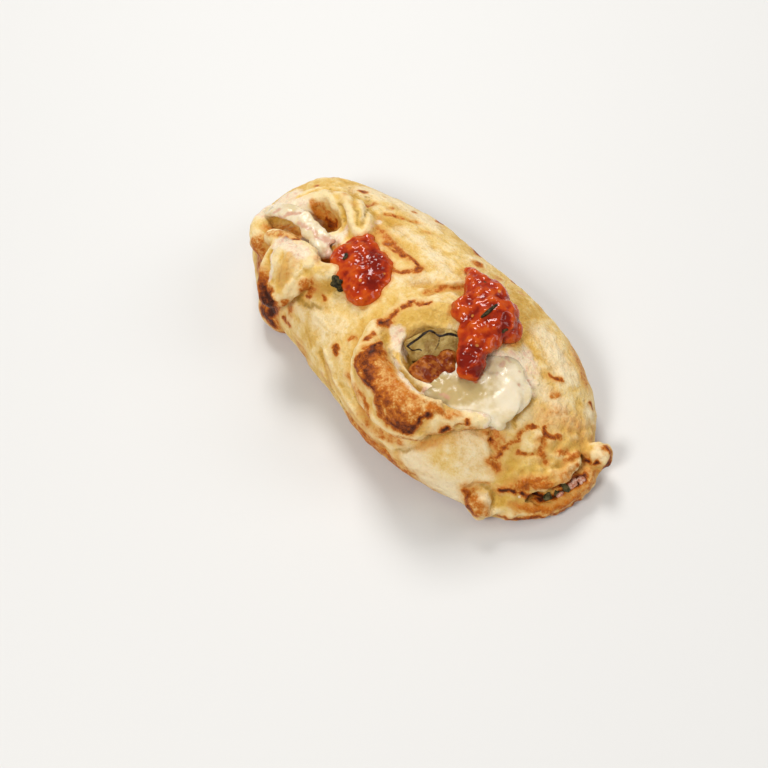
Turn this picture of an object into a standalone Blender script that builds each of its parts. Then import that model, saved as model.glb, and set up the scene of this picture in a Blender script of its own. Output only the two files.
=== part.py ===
"""A baked stromboli: a long loaf of folded dough with two torn openings on top and a gaping seam at one end.

The dough is a shell round its filling. Melted cheese fills one opening and bridges the other, tomato sauce
lies on the edge of each, and a slice of aubergine and a piece of sausage show inside the larger one.
+X runs from the closed end to the gaping end, +Y is the side of the larger sauce heap, and +Z is up.
The origin is under the middle of the loaf, on the surface that it rests on.
"""

import math

import bmesh
import bpy
import numpy as np
from mathutils import Euler, Matrix, Vector, noise

MM = 0.001

# Driving dimensions, in millimetres.
REAR_LENGTH = 104.0  # from the middle to the tip of each end
FRONT_LENGTH = 98.5
LOAF_HEIGHT = 49.0
END_TIP_HEIGHT = 12.0  # how high the tips of the two ends are above the table
WIDEST_SHARE = 0.34  # height of the widest line, as a share of the height there
UNDER_REACH = 2.5  # how far the dough is modelled below the table before its base is cut flat
WALL_SIDE = 8.0
WALL_TOP = 9.0
WALL_BASE = 5.0
WALL_END = 11.0
GAP = 0.35  # clearance between a piece and what it lies on

# Half widths of the loaf at shares of its half length, on the near (-Y) and the far (+Y) side.
OUTLINE_SHARES = [-1.0, -0.85, -0.6, -0.3, 0.0, 0.3, 0.6, 0.85, 1.0]
NEAR_HALF_WIDTHS = [52.0, 50.0, 49.0, 45.5, 46.5, 48.5, 47.0, 43.0, 36.5]
FAR_HALF_WIDTHS = [46.0, 40.0, 40.0, 42.5, 45.0, 48.5, 51.0, 47.0, 41.0]

# Mesh sizes, in millimetres and triangles.
DOUGH_VOXEL = 1.4
TOPPING_VOXEL = 1.1
DOUGH_TRIANGLES = 5600
FILLING_TRIANGLES = 1300
SAUCE_TRIANGLES = 640
CHEESE_TRIANGLES = 560
PIECE_TRIANGLES = 200

# Paths are (x, y, z) in millimetres, with the radius of the roll of dough at each point.
# The thick lip that the larger, front opening turns out over the near side.
FRONT_LIP = [(9, -24, 44), (15, -31, 43), (26, -36, 42), (40, -36, 41), (52, -31, 40), (61, -23, 39.5), (68, -13, 38)]
FRONT_LIP_RADII = [4.0, 6.5, 8.0, 8.0, 7.4, 6.0, 4.5]
FRONT_LIP_EDGE = [(14, -36, 40), (22, -41, 38), (34, -43, 37), (46, -41, 36), (54, -36, 36)]
FRONT_LIP_EDGE_RADII = [3.6, 4.6, 5.0, 4.8, 3.6]

# The folds round the rear opening.
REAR_FAR_FOLD = [(-73, -12, 41.5), (-67, -3.5, 43.5), (-57, 2, 45.5), (-47, 3.5, 47), (-37, 1, 47)]
REAR_FAR_FOLD_RADII = [5.0, 6.4, 7.0, 6.8, 5.5]
REAR_NEAR_FOLD = [(-66, -29, 41), (-56, -27, 44), (-44, -26, 45), (-32, -25, 45), (-26, -20, 46)]
REAR_NEAR_FOLD_RADII = [4.0, 5.0, 5.5, 5.5, 4.5]
REAR_CORNER = [(-86, -19, 32), (-81, -27, 33), (-73, -32, 34)]
REAR_CORNER_RADII = [5.0, 6.0, 6.0]
# The rounded edge of the tongue of dough that is turned down over the near side, below the rear opening.
TONGUE_RIM = [(-57, -31, 44.5), (-54, -39, 40), (-47, -46, 33.5), (-39, -45, 35), (-35, -38, 41), (-34, -31, 45)]
TONGUE_RIM_RADII = [2.8, 3.4, 3.8, 3.8, 3.4, 2.8]

# The gaping end: a lower lip under a thinner upper edge, and an ear of dough at each corner.
LOWER_LIP = [(82, -25, 7), (89, -19.5, 6.5), (94, -13, 6), (98.5, -4, 6), (98.5, 7, 6.5), (96, 16, 8)]
LOWER_LIP_RADII = [5.4, 5.4, 5.2, 5.0, 5.0, 5.0]
UPPER_EDGE = [(78, -18, 18.5), (86, -12, 17.5), (92, -6, 16.5), (95.5, 3, 16), (93, 13, 17)]
UPPER_EDGE_RADII = [4.5, 4.5, 4.4, 4.2, 4.6]
MOUTH_LINE = [(80, -20.5, 14), (90, -14.5, 12.5), (97.5, -7, 12), (101, 3, 12), (98, 15, 13.5)]
MOUTH_RADII = [1.8, 2.3, 2.4, 2.4, 2.0]
MOUTH_DEPTH = 15.0

# Creases and swellings of the dough's skin: path, width and height along the surface's normal.
SKIN_RELIEF = [
    ([(10, -20, 48), (12, -8, 49), (20, 3, 49), (32, 11, 48), (46, 16, 47), (60, 14, 45), (69, 5, 42)], 6.5, 3.4),
    ([(-6, -46, 27), (12, -48, 28), (34, -48, 26), (54, -45, 22)], 2.6, -1.3),
    ([(-4, -49, 20), (14, -50, 21), (36, -50, 19), (56, -46, 15)], 2.8, 1.0),
    ([(50, -44, 24), (57, -40, 30), (66, -30, 35), (71, -19, 37)], 2.2, -1.7),
    ([(48, -42, 30), (56, -36, 35), (64, -26, 39)], 3.0, 0.9),
    ([(71, -3, 38), (71, 4, 39), (67, 11, 41)], 1.6, -1.2),
    ([(74, -14, 34), (80, -13, 32), (86, -14, 27)], 2.4, -1.1),
    ([(-2, 6, 49), (6, 14, 48), (12, 24, 46)], 3.0, 1.0),
    ([(2, 2, 49), (10, 10, 49), (18, 20, 48)], 2.2, -1.3),
    ([(-30, 10, 48), (-16, 14, 48), (0, 16, 48)], 4.0, 0.7),
    ([(-48, -45, 26), (-36, -44, 28), (-24, -44, 28)], 3.0, -1.2),
    ([(-28, -30, 42), (-20, -35, 39), (-6, -38, 37)], 5.0, 0.8),
    ([(74, 22, 32), (84, 18, 28), (90, 14, 22)], 2.4, -1.0),
    ([(-44, -31, 46), (-44, -39, 40)], 3.6, -2.2),
    ([(-60, -38, 36), (-56, -44, 28), (-54, -46, 20)], 3.0, -1.2),
]


def superellipse(share, power, root):
    """The height at this share of the half span, of a curve that is 1 in the middle and 0 at the end."""
    return np.clip(1 - np.abs(share) ** power, 0, 1) ** root


def eased(share, values):
    """A smooth curve through the values at the outline's shares."""
    stations = np.array(OUTLINE_SHARES)
    heights = np.array(values)
    slopes = np.gradient(heights, stations)
    i = np.clip(np.searchsorted(stations, share) - 1, 0, len(stations) - 2)
    span = stations[i + 1] - stations[i]
    t = (share - stations[i]) / span
    start = (2 * t**3 - 3 * t**2 + 1) * heights[i] + (t**3 - 2 * t**2 + t) * span * slopes[i]
    end = (3 * t**2 - 2 * t**3) * heights[i + 1] + (t**3 - t**2) * span * slopes[i + 1]
    return start + end


def loaf_bmesh(inset_end, inset_side, inset_top, base):
    """The loaf's form in millimetres, with room left off its ends, sides and top, for the form of its cavity."""
    bm = bmesh.new()
    bmesh.ops.create_uvsphere(bm, u_segments=72, v_segments=60, radius=1, matrix=Matrix.Rotation(math.pi / 2, 4, "Y"))
    unit = np.array([v.co for v in bm.verts])
    share = unit[:, 0]
    around = np.arctan2(unit[:, 2], unit[:, 1])
    inward = superellipse(share, 4, 0.5)
    ends = superellipse(share, 2.5, 0.4)
    near = np.maximum(eased(share, NEAR_HALF_WIDTHS) * ends - inset_side * inward, 0.0)
    far = np.maximum(eased(share, FAR_HALF_WIDTHS) * ends - inset_side * inward, 0.0)
    low = base + (END_TIP_HEIGHT - base) * (1 - superellipse(share, 6, 0.5))
    blunt_end = superellipse(share, 3.2, 0.45)
    sloping_end = superellipse(share, 2.1, 0.58)
    rise = (LOAF_HEIGHT - inset_top - base) * np.where(share < 0, blunt_end, sloping_end)
    high = low + rise
    widest = low + (high - low) * WIDEST_SHARE
    side, up = np.cos(around), np.sin(around)
    x = (np.where(share < 0, REAR_LENGTH, FRONT_LENGTH) - inset_end) * share
    y = np.where(side > 0, far, near) * np.sign(side) * np.abs(side) ** 0.92
    above = widest + (high - widest) * np.abs(up) ** 0.92
    below = widest - (widest - low) * np.abs(up) ** 0.62
    z = np.where(up > 0, above, below)
    for vert, place in zip(bm.verts, np.stack([x, y, z], 1)):
        vert.co = place
    return bm


def add_ellipsoid(bm, centre, radii, turn=0.0, pitch=0.0, roll=0.0, detail=3):
    """An ellipsoid, turned about Z after it is rolled about X and pitched about Y, in degrees."""
    spin = Euler([math.radians(a) for a in (roll, pitch, turn)]).to_matrix().to_4x4()
    place = Matrix.Translation(centre) @ spin @ Matrix.Diagonal((*radii, 1))
    bmesh.ops.create_icosphere(bm, subdivisions=detail, radius=1, matrix=place)


def smooth_path(points, steps):
    """Points along a Catmull-Rom curve through the given ones."""
    p = np.array(points, float)
    p = np.vstack([2 * p[0] - p[1], p, 2 * p[-1] - p[-2]])
    found = []
    for t in np.linspace(0, len(points) - 1, steps):
        i = min(int(t), len(points) - 2)
        u = t - i
        a, b, c, d = p[i : i + 4]
        found.append(0.5 * (2 * b + (c - a) * u + (2 * a - 5 * b + 4 * c - d) * u**2 + (3 * b - a - 3 * c + d) * u**3))
    return np.array(found)


def add_roll(bm, path, radii, flat=1.0, beads_apart=0.45):
    """A roll of dough: overlapping balls along a path, which fuse into one. flat squeezes them in height."""
    rough = smooth_path(path, 60)
    length = np.linalg.norm(np.diff(rough, axis=0), axis=1).sum()
    count = max(3, int(length / (beads_apart * float(np.mean(radii)))))
    sizes = smooth_path([(r, 0, 0) for r in radii], count)[:, 0]
    for place, size in zip(smooth_path(path, count), sizes):
        add_ellipsoid(bm, place, (size, size, size * flat), detail=2)


def to_object(bm, name, collection):
    """An object from a bmesh in millimetres. The bmesh is freed."""
    bm.transform(Matrix.Scale(MM, 4))
    mesh = bpy.data.meshes.new(name)
    bm.to_mesh(mesh)
    bm.free()
    obj = bpy.data.objects.new(name, mesh)
    collection.objects.link(obj)
    return obj


def applied(obj):
    """The object with its modifiers applied to its mesh."""
    graph = bpy.context.evaluated_depsgraph_get()
    graph.update()
    mesh = bpy.data.meshes.new_from_object(obj.evaluated_get(graph))
    obj.modifiers.clear()
    old = obj.data
    obj.data = mesh
    bpy.data.meshes.remove(old)
    mesh.name = obj.name
    return obj


def fuse(obj, voxel, smoothing):
    """Joins all that overlaps in the object into one skin and softens it. The voxel is in millimetres."""
    remesh = obj.modifiers.new("Fuse", "REMESH")
    remesh.mode = "VOXEL"
    remesh.voxel_size = voxel * MM
    soften = obj.modifiers.new("Soften", "SMOOTH")
    soften.factor = 0.5
    soften.iterations = smoothing
    return applied(obj)


def cut(obj, cutter, solver="EXACT"):
    boolean = obj.modifiers.new("Cut", "BOOLEAN")
    boolean.operation = "DIFFERENCE"
    boolean.solver = solver
    boolean.object = cutter
    return applied(obj)


def grown(obj, by, collection):
    """A cutter: a copy of the object, swollen by this many millimetres."""
    copy = bpy.data.objects.new(obj.name + "_room", obj.data.copy())
    collection.objects.link(copy)
    swell = copy.modifiers.new("Swell", "DISPLACE")
    swell.mid_level = 0.0
    swell.strength = by * MM
    return applied(copy)


def thin_out(obj, triangles):
    """Merges triangles until about this many are left."""
    obj.data.calc_loop_triangles()
    decimate = obj.modifiers.new("Thin out", "DECIMATE")
    decimate.ratio = min(1.0, triangles / len(obj.data.loop_triangles))
    return applied(obj)


def largest_piece(obj):
    """Drops the scraps that a cut leaves beside the largest connected piece."""
    bm = bmesh.new()
    bm.from_mesh(obj.data)
    left = set(bm.verts)
    pieces = []
    while left:
        found = [left.pop()]
        for vert in found:
            for edge in vert.link_edges:
                other = edge.other_vert(vert)
                if other in left:
                    left.remove(other)
                    found.append(other)
        pieces.append(found)
    pieces.sort(key=len)
    for scrap in pieces[:-1]:
        bmesh.ops.delete(bm, geom=scrap, context="VERTS")
    bm.to_mesh(obj.data)
    bm.free()
    return obj


def flat_base(obj):
    """Cuts the mesh level at the table and closes it there."""
    bm = bmesh.new()
    bm.from_mesh(obj.data)
    everything = bm.verts[:] + bm.edges[:] + bm.faces[:]
    bmesh.ops.bisect_plane(bm, geom=everything, plane_co=(0, 0, 0), plane_no=(0, 0, -1), clear_outer=True)
    rim = [edge for edge in bm.edges if edge.is_boundary]
    bmesh.ops.triangle_fill(bm, edges=rim, use_beauty=True, normal=(0, 0, -1))
    bmesh.ops.recalc_face_normals(bm, faces=bm.faces)
    bm.to_mesh(obj.data)
    bm.free()
    return obj


def distance_to_path(points, path, steps=40):
    """How far each point is from a smooth path, in millimetres."""
    line = smooth_path(path, steps)
    return np.linalg.norm(points[:, None] - line[None], axis=2).min(axis=1)


def reshape(obj, move):
    """Moves the vertices along their normals by a function of their places, both in millimetres."""
    mesh = obj.data
    points = np.array([v.co for v in mesh.vertices]) / MM
    normals = np.array([v.normal for v in mesh.vertices])
    points += normals * move(points)[:, None]
    mesh.vertices.foreach_set("co", (points * MM).astype(np.float32).ravel())
    mesh.update()
    return obj


def lumps(points, size, height):
    return height * np.array([noise.noise(Vector(p) / size) for p in points])


def skin_relief(points):
    """The creases and swellings of the dough's skin, and the uneven swell of baked dough."""
    move = lumps(points, 21, 1.0) + lumps(points, 9, 0.5)
    for path, width, height in SKIN_RELIEF:
        move += height * np.exp(-((distance_to_path(points, path) / width) ** 2))
    return move


def front_pit(collection):
    """The torn hollow of the larger opening: deep at its rear, and shallow where cheese fills it."""
    bm = bmesh.new()
    add_ellipsoid(bm, (31, -13, 46), (15.0, 12.0, 13.0), turn=14)
    add_ellipsoid(bm, (42, -8, 47), (17, 14, 12), turn=16)
    add_ellipsoid(bm, (55, -3, 45), (14, 14, 8), turn=10)
    add_ellipsoid(bm, (36, -9, 56), (22, 19, 8), turn=16)
    return fuse(to_object(bm, "front_pit", collection), DOUGH_VOXEL, 3)


def rear_pit(collection):
    """The hollow of the rear opening: a hole, a pocket behind the cheese strand and a pit at its near corner."""
    bm = bmesh.new()
    add_ellipsoid(bm, (-57.5, -7.5, 49), (11.5, 5.5, 13), turn=10)
    add_ellipsoid(bm, (-56, -8, 54), (15, 8, 7), turn=10)
    add_ellipsoid(bm, (-63.5, -23.5, 45), (11, 4.6, 8), turn=25)
    add_ellipsoid(bm, (-50, -16, 48), (17, 5.5, 8), turn=12)
    add_ellipsoid(bm, (-36, -18, 48), (6.5, 5.5, 8))
    return fuse(to_object(bm, "rear_pit", collection), DOUGH_VOXEL, 2)


def mouth_cutter(collection):
    """The slot of the gaping end, bent like a smile and opening into the filling."""
    bm = bmesh.new()
    for depth in np.arange(0, MOUTH_DEPTH + 1, 3.0):
        rise = 0.12 * depth
        path = [(x - depth, y * (1 - 0.004 * depth), z + rise) for x, y, z in MOUTH_LINE]
        add_roll(bm, path, MOUTH_RADII, beads_apart=0.8)
    return fuse(to_object(bm, "mouth", collection), TOPPING_VOXEL, 1)


def make_dough(name, collection, cutters):
    """The dough shell, before its cavity is cut."""
    bm = loaf_bmesh(0.0, 0.0, 0.0, -UNDER_REACH)
    add_roll(bm, FRONT_LIP, FRONT_LIP_RADII)
    add_roll(bm, FRONT_LIP_EDGE, FRONT_LIP_EDGE_RADII, flat=0.75)
    add_roll(bm, REAR_FAR_FOLD, REAR_FAR_FOLD_RADII)
    add_roll(bm, REAR_NEAR_FOLD, REAR_NEAR_FOLD_RADII)
    add_roll(bm, REAR_CORNER, REAR_CORNER_RADII)
    add_ellipsoid(bm, (-45, -37, 41), (9.5, 13.5, 4.6), turn=-6, roll=50)
    add_roll(bm, TONGUE_RIM, TONGUE_RIM_RADII)
    add_roll(bm, LOWER_LIP, LOWER_LIP_RADII)
    add_roll(bm, UPPER_EDGE, UPPER_EDGE_RADII)
    add_ellipsoid(bm, (82.0, -26.5, 10.0), (8.5, 6.8, 6.8), turn=-35)
    add_ellipsoid(bm, (95.5, 22.5, 13.0), (5.4, 6.0, 5.6), turn=20)
    dough = fuse(to_object(bm, name, collection), DOUGH_VOXEL, 8)
    reshape(dough, skin_relief)
    for cutter in (front_pit(cutters), rear_pit(cutters), mouth_cutter(cutters)):
        cut(dough, cutter)
    fuse(dough, DOUGH_VOXEL, 3)
    return flat_base(thin_out(dough, DOUGH_TRIANGLES))


def make_filling(name, collection):
    """The filling that runs through the loaf. It sinks under the front opening and ends behind the mouth."""
    bm = loaf_bmesh(WALL_END + GAP, WALL_SIDE + GAP, WALL_TOP + GAP, WALL_BASE + GAP)
    filling = to_object(bm, name, collection)
    filling.data.shade_smooth()
    return thin_out(reshape(filling, filling_relief), FILLING_TRIANGLES)


def filling_relief(points):
    """Only inward: the hollow under the front opening, and lumps of what the loaf is filled with."""
    hollow = np.exp(-(((points[:, 0] - 29) / 14) ** 2) - ((points[:, 1] + 12) / 12) ** 2) * (points[:, 2] > 25)
    lumpy = np.abs(lumps(points, 8, 1.6)) * (points[:, 2] > 12)
    return -5.5 * hollow - lumpy


def make_cheese_front(name, collection):
    """Melted cheese: a pool in the front opening that spills over its near front edge."""
    bm = bmesh.new()
    add_ellipsoid(bm, (55, -6, 38.5), (19, 16, 4.2), turn=10)
    add_ellipsoid(bm, (48, -13, 37.5), (13, 10, 4.6), turn=-15)
    add_ellipsoid(bm, (55, 6, 41.2), (9, 8, 3.6))
    add_ellipsoid(bm, (63, 1, 40.8), (9, 10, 3.8))
    add_roll(bm, [(58, -12, 41), (66, -10, 41), (72, -9, 37)], [5.0, 4.6, 3.4], flat=0.6)
    cheese = fuse(to_object(bm, name, collection), TOPPING_VOXEL, 4)
    return reshape(cheese, lambda points: lumps(points, 7, 0.7))


def make_cheese_rear(name, collection):
    """Melted cheese: a strand across the rear opening."""
    bm = bmesh.new()
    path = [(-82, -22, 40), (-75, -19.5, 45), (-66, -16.5, 48), (-57, -14, 48), (-50, -12.3, 47), (-44, -11.5, 47)]
    add_roll(bm, path, [3.4, 4.6, 4.8, 3.8, 3.0, 3.2], flat=0.7)
    add_ellipsoid(bm, (-44, -17.5, 46), (7, 5.5, 3.4))
    add_ellipsoid(bm, (-72, -14.5, 46.0), (7, 4.5, 3.0), turn=20)
    cheese = fuse(to_object(bm, name, collection), TOPPING_VOXEL, 4)
    return reshape(cheese, lambda points: lumps(points, 6, 0.7))


def make_sauce_front(name, collection):
    """A heap of chunky tomato sauce on the far edge of the front opening, with a drip on the cheese."""
    bm = bmesh.new()
    add_roll(bm, [(8.5, 24, 47.0), (13, 22.5, 48.8), (20, 20, 50)], [2.4, 3.8, 6.0], flat=0.8)
    add_ellipsoid(bm, (27, 19, 49.5), (10, 9.5, 6.0))
    add_ellipsoid(bm, (36, 15, 49.5), (11, 11, 6.8))
    add_ellipsoid(bm, (41.5, 18, 45.5), (7.5, 6.5, 5.0), roll=-20)
    add_ellipsoid(bm, (40, 6, 49.0), (9.5, 9, 5.5))
    add_ellipsoid(bm, (28, 9, 51.0), (7, 7, 4.0))
    add_roll(bm, [(42, 1, 47.5), (46, -3, 46), (48.5, -5.5, 44.5)], [6.5, 6.0, 4.8], flat=0.75)
    add_roll(bm, [(31, 12, 56.0), (35, 18, 56.6)], [1.1, 1.1], beads_apart=0.7)
    sauce = fuse(to_object(bm, name, collection), TOPPING_VOXEL, 2)
    return reshape(sauce, lambda points: lumps(points, 4.5, 1.3))


def make_sauce_rear(name, collection):
    """A heap of chunky tomato sauce on the front edge of the rear opening, with a leaf at its near edge."""
    bm = bmesh.new()
    add_ellipsoid(bm, (-18, -11, 48.0), (14, 12.5, 5.5), turn=-20)
    add_ellipsoid(bm, (-28, -7, 49.0), (8, 8, 4.2))
    add_ellipsoid(bm, (-28, -14, 48.0), (8, 7, 4.0))
    add_ellipsoid(bm, (-32, -2, 48.5), (5, 4.5, 3.0))
    add_ellipsoid(bm, (-11, -16, 47.0), (9, 8.5, 4.5))
    add_ellipsoid(bm, (-21, -22, 47.5), (4.6, 3.2, 1.8), turn=20, roll=20)
    sauce = fuse(to_object(bm, name, collection), TOPPING_VOXEL, 2)
    return reshape(sauce, lambda points: lumps(points, 4.5, 1.2))


def make_aubergine_slice(name, collection):
    """A wilted slice of aubergine that leans on the rear wall of the front opening."""
    bm = bmesh.new()
    add_roll(bm, [(20.5, -17, 43.5), (22, -12, 45), (24, -6.5, 45.5), (29, -1, 45), (33, 1.5, 43.5)], [1.6] * 5)
    add_roll(bm, [(22, -16, 42.5), (25, -10, 43), (29, -4, 43), (33, 0, 42)], [2.0] * 4)
    add_roll(bm, [(25, -16, 41), (29, -11, 41.5), (33, -5, 41.5)], [2.4] * 3, flat=0.7)
    add_roll(bm, [(28, -16, 39.5), (32, -13, 39.8), (35, -8, 39.5)], [2.2] * 3, flat=0.7)
    slice_ = fuse(to_object(bm, name, collection), TOPPING_VOXEL, 1)
    return reshape(slice_, lambda points: lumps(points, 5, 0.7))


def make_sausage_piece(name, collection):
    """A browned piece of sausage that lies in the front opening, between the aubergine and the cheese."""
    bm = bmesh.new()
    add_ellipsoid(bm, (36, -18, 39.5), (6.0, 6.5, 5.0), turn=15)
    add_ellipsoid(bm, (38, -11, 38.5), (4.5, 4.5, 4.0))
    piece = fuse(to_object(bm, name, collection), TOPPING_VOXEL, 1)
    return reshape(piece, lambda points: lumps(points, 5, 1.4))


# Base colour, roughness and subsurface weight of each material.
MATERIALS = {
    "dough": ((0.78, 0.60, 0.33), 0.62, 0.05),
    "filling": ((0.42, 0.22, 0.10), 0.45, 0.05),
    "cheese": ((0.86, 0.80, 0.66), 0.25, 0.20),
    "sauce": ((0.55, 0.05, 0.015), 0.22, 0.10),
    "aubergine": ((0.40, 0.38, 0.20), 0.40, 0.05),
    "sausage": ((0.38, 0.12, 0.06), 0.40, 0.05),
}


def paint(obj, material_name):
    """Gives the object its own Principled material and smooth shading."""
    colour, roughness, subsurface = MATERIALS[material_name]
    material = bpy.data.materials.new(obj.name)
    material.use_nodes = True
    shader = material.node_tree.nodes["Principled BSDF"]
    shader.inputs["Base Color"].default_value = (*colour, 1.0)
    shader.inputs["Roughness"].default_value = roughness
    shader.inputs["Subsurface Weight"].default_value = subsurface
    obj.data.materials.clear()
    obj.data.materials.append(material)
    obj.data.shade_smooth()


def centre_on_origin(objects):
    """Moves all the pieces so that the origin is under the middle of their common bounding box, at the base."""
    points = np.array([v.co for obj in objects for v in obj.data.vertices])
    low, high = points.min(axis=0), points.max(axis=0)
    shift = Vector((-(low[0] + high[0]) / 2, -(low[1] + high[1]) / 2, -low[2]))
    for obj in objects:
        obj.data.transform(Matrix.Translation(shift))
        obj.data.update()


def fit(piece, neighbours, cutters, triangles):
    """Cuts a piece to what it lies on, with a gap, and keeps its largest part."""
    thin_out(piece, triangles)
    for neighbour in neighbours:
        # A swollen neighbour crosses itself where its wall is thin. There the exact solver fails, and the
        # neighbour itself clears what the first cut leaves.
        cut(piece, grown(neighbour, GAP, cutters), solver="MANIFOLD")
        cut(piece, neighbour, solver="MANIFOLD")
    return largest_piece(piece)


def main():
    for old in list(bpy.data.objects):
        bpy.data.objects.remove(old)
    parts = bpy.data.collections.new("stromboli")
    cutters = bpy.data.collections.new("cutters")
    bpy.context.scene.collection.children.link(parts)
    bpy.context.scene.collection.children.link(cutters)

    dough = make_dough("dough", parts, cutters)
    cavity = to_object(loaf_bmesh(WALL_END, WALL_SIDE, WALL_TOP, WALL_BASE), "cavity", cutters)
    cut(dough, thin_out(cavity, FILLING_TRIANGLES))
    filling = make_filling("filling", parts)
    sausage = fit(make_sausage_piece("sausage_piece", parts), [filling, dough], cutters, PIECE_TRIANGLES)
    aubergine = fit(make_aubergine_slice("aubergine_slice", parts), [filling, dough, sausage], cutters, PIECE_TRIANGLES)
    inner = [filling, dough, sausage, aubergine]
    cheese_front = fit(make_cheese_front("cheese_front", parts), inner, cutters, CHEESE_TRIANGLES)
    cheese_rear = fit(make_cheese_rear("cheese_rear", parts), [filling, dough], cutters, CHEESE_TRIANGLES)
    sauce_front = fit(make_sauce_front("sauce_front", parts), inner + [cheese_front], cutters, SAUCE_TRIANGLES)
    sauce_rear = fit(make_sauce_rear("sauce_rear", parts), [filling, dough, cheese_rear], cutters, SAUCE_TRIANGLES)

    paint(dough, "dough")
    paint(filling, "filling")
    paint(cheese_front, "cheese")
    paint(cheese_rear, "cheese")
    paint(sauce_front, "sauce")
    paint(sauce_rear, "sauce")
    paint(aubergine, "aubergine")
    paint(sausage, "sausage")
    centre_on_origin(parts.objects)
    for obj in cutters.objects:
        obj.hide_render = True
        obj.display_type = "WIRE"


main()
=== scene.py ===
"""The looks of a baked stromboli: browned dough, filling, melted cheese, chunky tomato sauce and herbs.

Forms are laid out in millimetres round the loaf's own axis and then moved to the frame, in metres.
Marks on the crust are placed by where the photograph shows them, in its 768 x 768 pixels, and are cast
from the camera onto the dough, so that each of them lies on the surface. Their widths are real sizes.
"""

import math
import random

import bmesh
import bpy
import numpy as np
from mathutils import Euler, Matrix, Quaternion, Vector, noise
from mathutils.bvhtree import BVHTree


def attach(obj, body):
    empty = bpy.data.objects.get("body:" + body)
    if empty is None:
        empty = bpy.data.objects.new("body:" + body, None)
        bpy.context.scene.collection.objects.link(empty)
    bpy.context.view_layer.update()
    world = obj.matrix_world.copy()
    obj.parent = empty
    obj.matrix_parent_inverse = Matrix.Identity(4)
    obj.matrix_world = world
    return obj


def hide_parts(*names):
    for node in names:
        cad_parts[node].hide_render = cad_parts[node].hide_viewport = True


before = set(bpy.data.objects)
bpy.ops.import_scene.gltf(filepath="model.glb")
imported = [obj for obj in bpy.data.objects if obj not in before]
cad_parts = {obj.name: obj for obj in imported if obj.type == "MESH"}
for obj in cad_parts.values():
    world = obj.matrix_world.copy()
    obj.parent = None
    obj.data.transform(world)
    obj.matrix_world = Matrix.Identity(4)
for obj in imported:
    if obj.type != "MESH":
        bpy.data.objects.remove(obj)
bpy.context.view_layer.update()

MM = 0.001
PHOTO_SIZE = 768
PIXELS_PER_MM = 1.8  # on top of the loaf, across the camera's view
NOISE_SEED = 1  # of the vectors that waver the marks' edges

# From the middle of the loaf's box, which stands over the frame's origin, to the axis that the forms use.
CENTRE_SHIFT = Vector((0.294, 0.718, 0.0))

# The camera, fitted to the photograph. It aims at a point on the table, in the forms' millimetres.
FOCAL_PIXELS = 1300.0
SENSOR_WIDTH = 36.0
CAMERA_AZIMUTH = 63.8
CAMERA_ELEVATION = 54.0
CAMERA_ROLL = -10.0
CAMERA_DISTANCE = 572.0
CAMERA_AIM = Vector((3.69, -22.04, 0.0))

# The loaf, in millimetres.
REAR_LENGTH = 104.0
FRONT_LENGTH = 98.5
LOAF_HEIGHT = 49.0
END_TIP_HEIGHT = 12.0
WIDEST_SHARE = 0.34
UNDER_REACH = 2.5
WALL_SIDE = 8.0
WALL_TOP = 9.0
WALL_BASE = 5.0
WALL_END = 11.0
FILLING_OVERLAP = 0.1
OUTLINE_SHARES = [-1.0, -0.85, -0.6, -0.3, 0.0, 0.3, 0.6, 0.85, 1.0]
NEAR_HALF_WIDTHS = [52.0, 50.0, 49.0, 45.5, 46.5, 48.5, 47.0, 43.0, 36.5]
FAR_HALF_WIDTHS = [46.0, 40.0, 40.0, 42.5, 45.0, 48.5, 51.0, 47.0, 41.0]

# The powers and roots of the superellipses that close the loaf's ends, and how round its section is.
WALL_CURVE = (4, 0.5)
PLAN_CURVE = (2.5, 0.4)
BASE_CURVE = (6, 0.5)
BLUNT_END_CURVE = (3.2, 0.45)
SLOPING_END_CURVE = (2.1, 0.58)
SECTION_ROUND = 0.92
UNDERSIDE_ROUND = 0.62

DOUGH_VOXEL = 0.8
TOPPING_VOXEL = 0.5
LEAF_VOXEL = 0.35
STEM_VOXEL = 0.25
PATCH_EDGE = 3.6  # how softly a tanned patch ends
FOLD_EDGE = 0.9  # and a fold that lies on the skin
HALO_REACH = 3.0  # how far a toasted spot tans the crust round it
FAR_FROM_PATH = 14.0  # distances to a path are not measured beyond this
BULGE_ROUNDS = 40  # of the smoothing that bulges are measured against
WAVERS = [(4.2, 1.4), (1.7, 0.7)]  # how large the waves of uneven edges are, and how far they push

# The toast of the crust's foot: its level, the height that it reaches, and the height that it fades over.
FOOT_TOAST = 0.42
FOOT_TOP = 9.0
FOOT_FADE = 7.0
UNDERSIDE_TOAST = 0.14
HALO = 0.42  # the tan round a toasted mark, as a share of the mark's level
SAUCE_STAIN_REACH = 2.2
CHEESE_FRONT_FILM = 4.0
CHEESE_REAR_FILM = 1.8
# Creases deeper than this get painted shade.
CREASE_DEPTH = 0.75  # a crease that is deeper than this is drawn dark too

# Where the filling sinks under the front opening: middle, reach and depth.
SINK_MIDDLE = (29, -12)
SINK_REACH = (14, 12)
SINK_DEPTH = 5.5
SINK_ABOVE = 25  # the filling's underside stays
LUMPS_ABOVE = 12

# The top of the cheese pool: its height, its slope across the loaf and its fall toward the gaping end.
POOL_LEVEL = 41.8
POOL_SLOPE = 0.12
POOL_MIDDLE = -6
POOL_FALL = 0.2
POOL_FALL_FROM = 56
POOL_FLATTENING = 0.6

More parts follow.
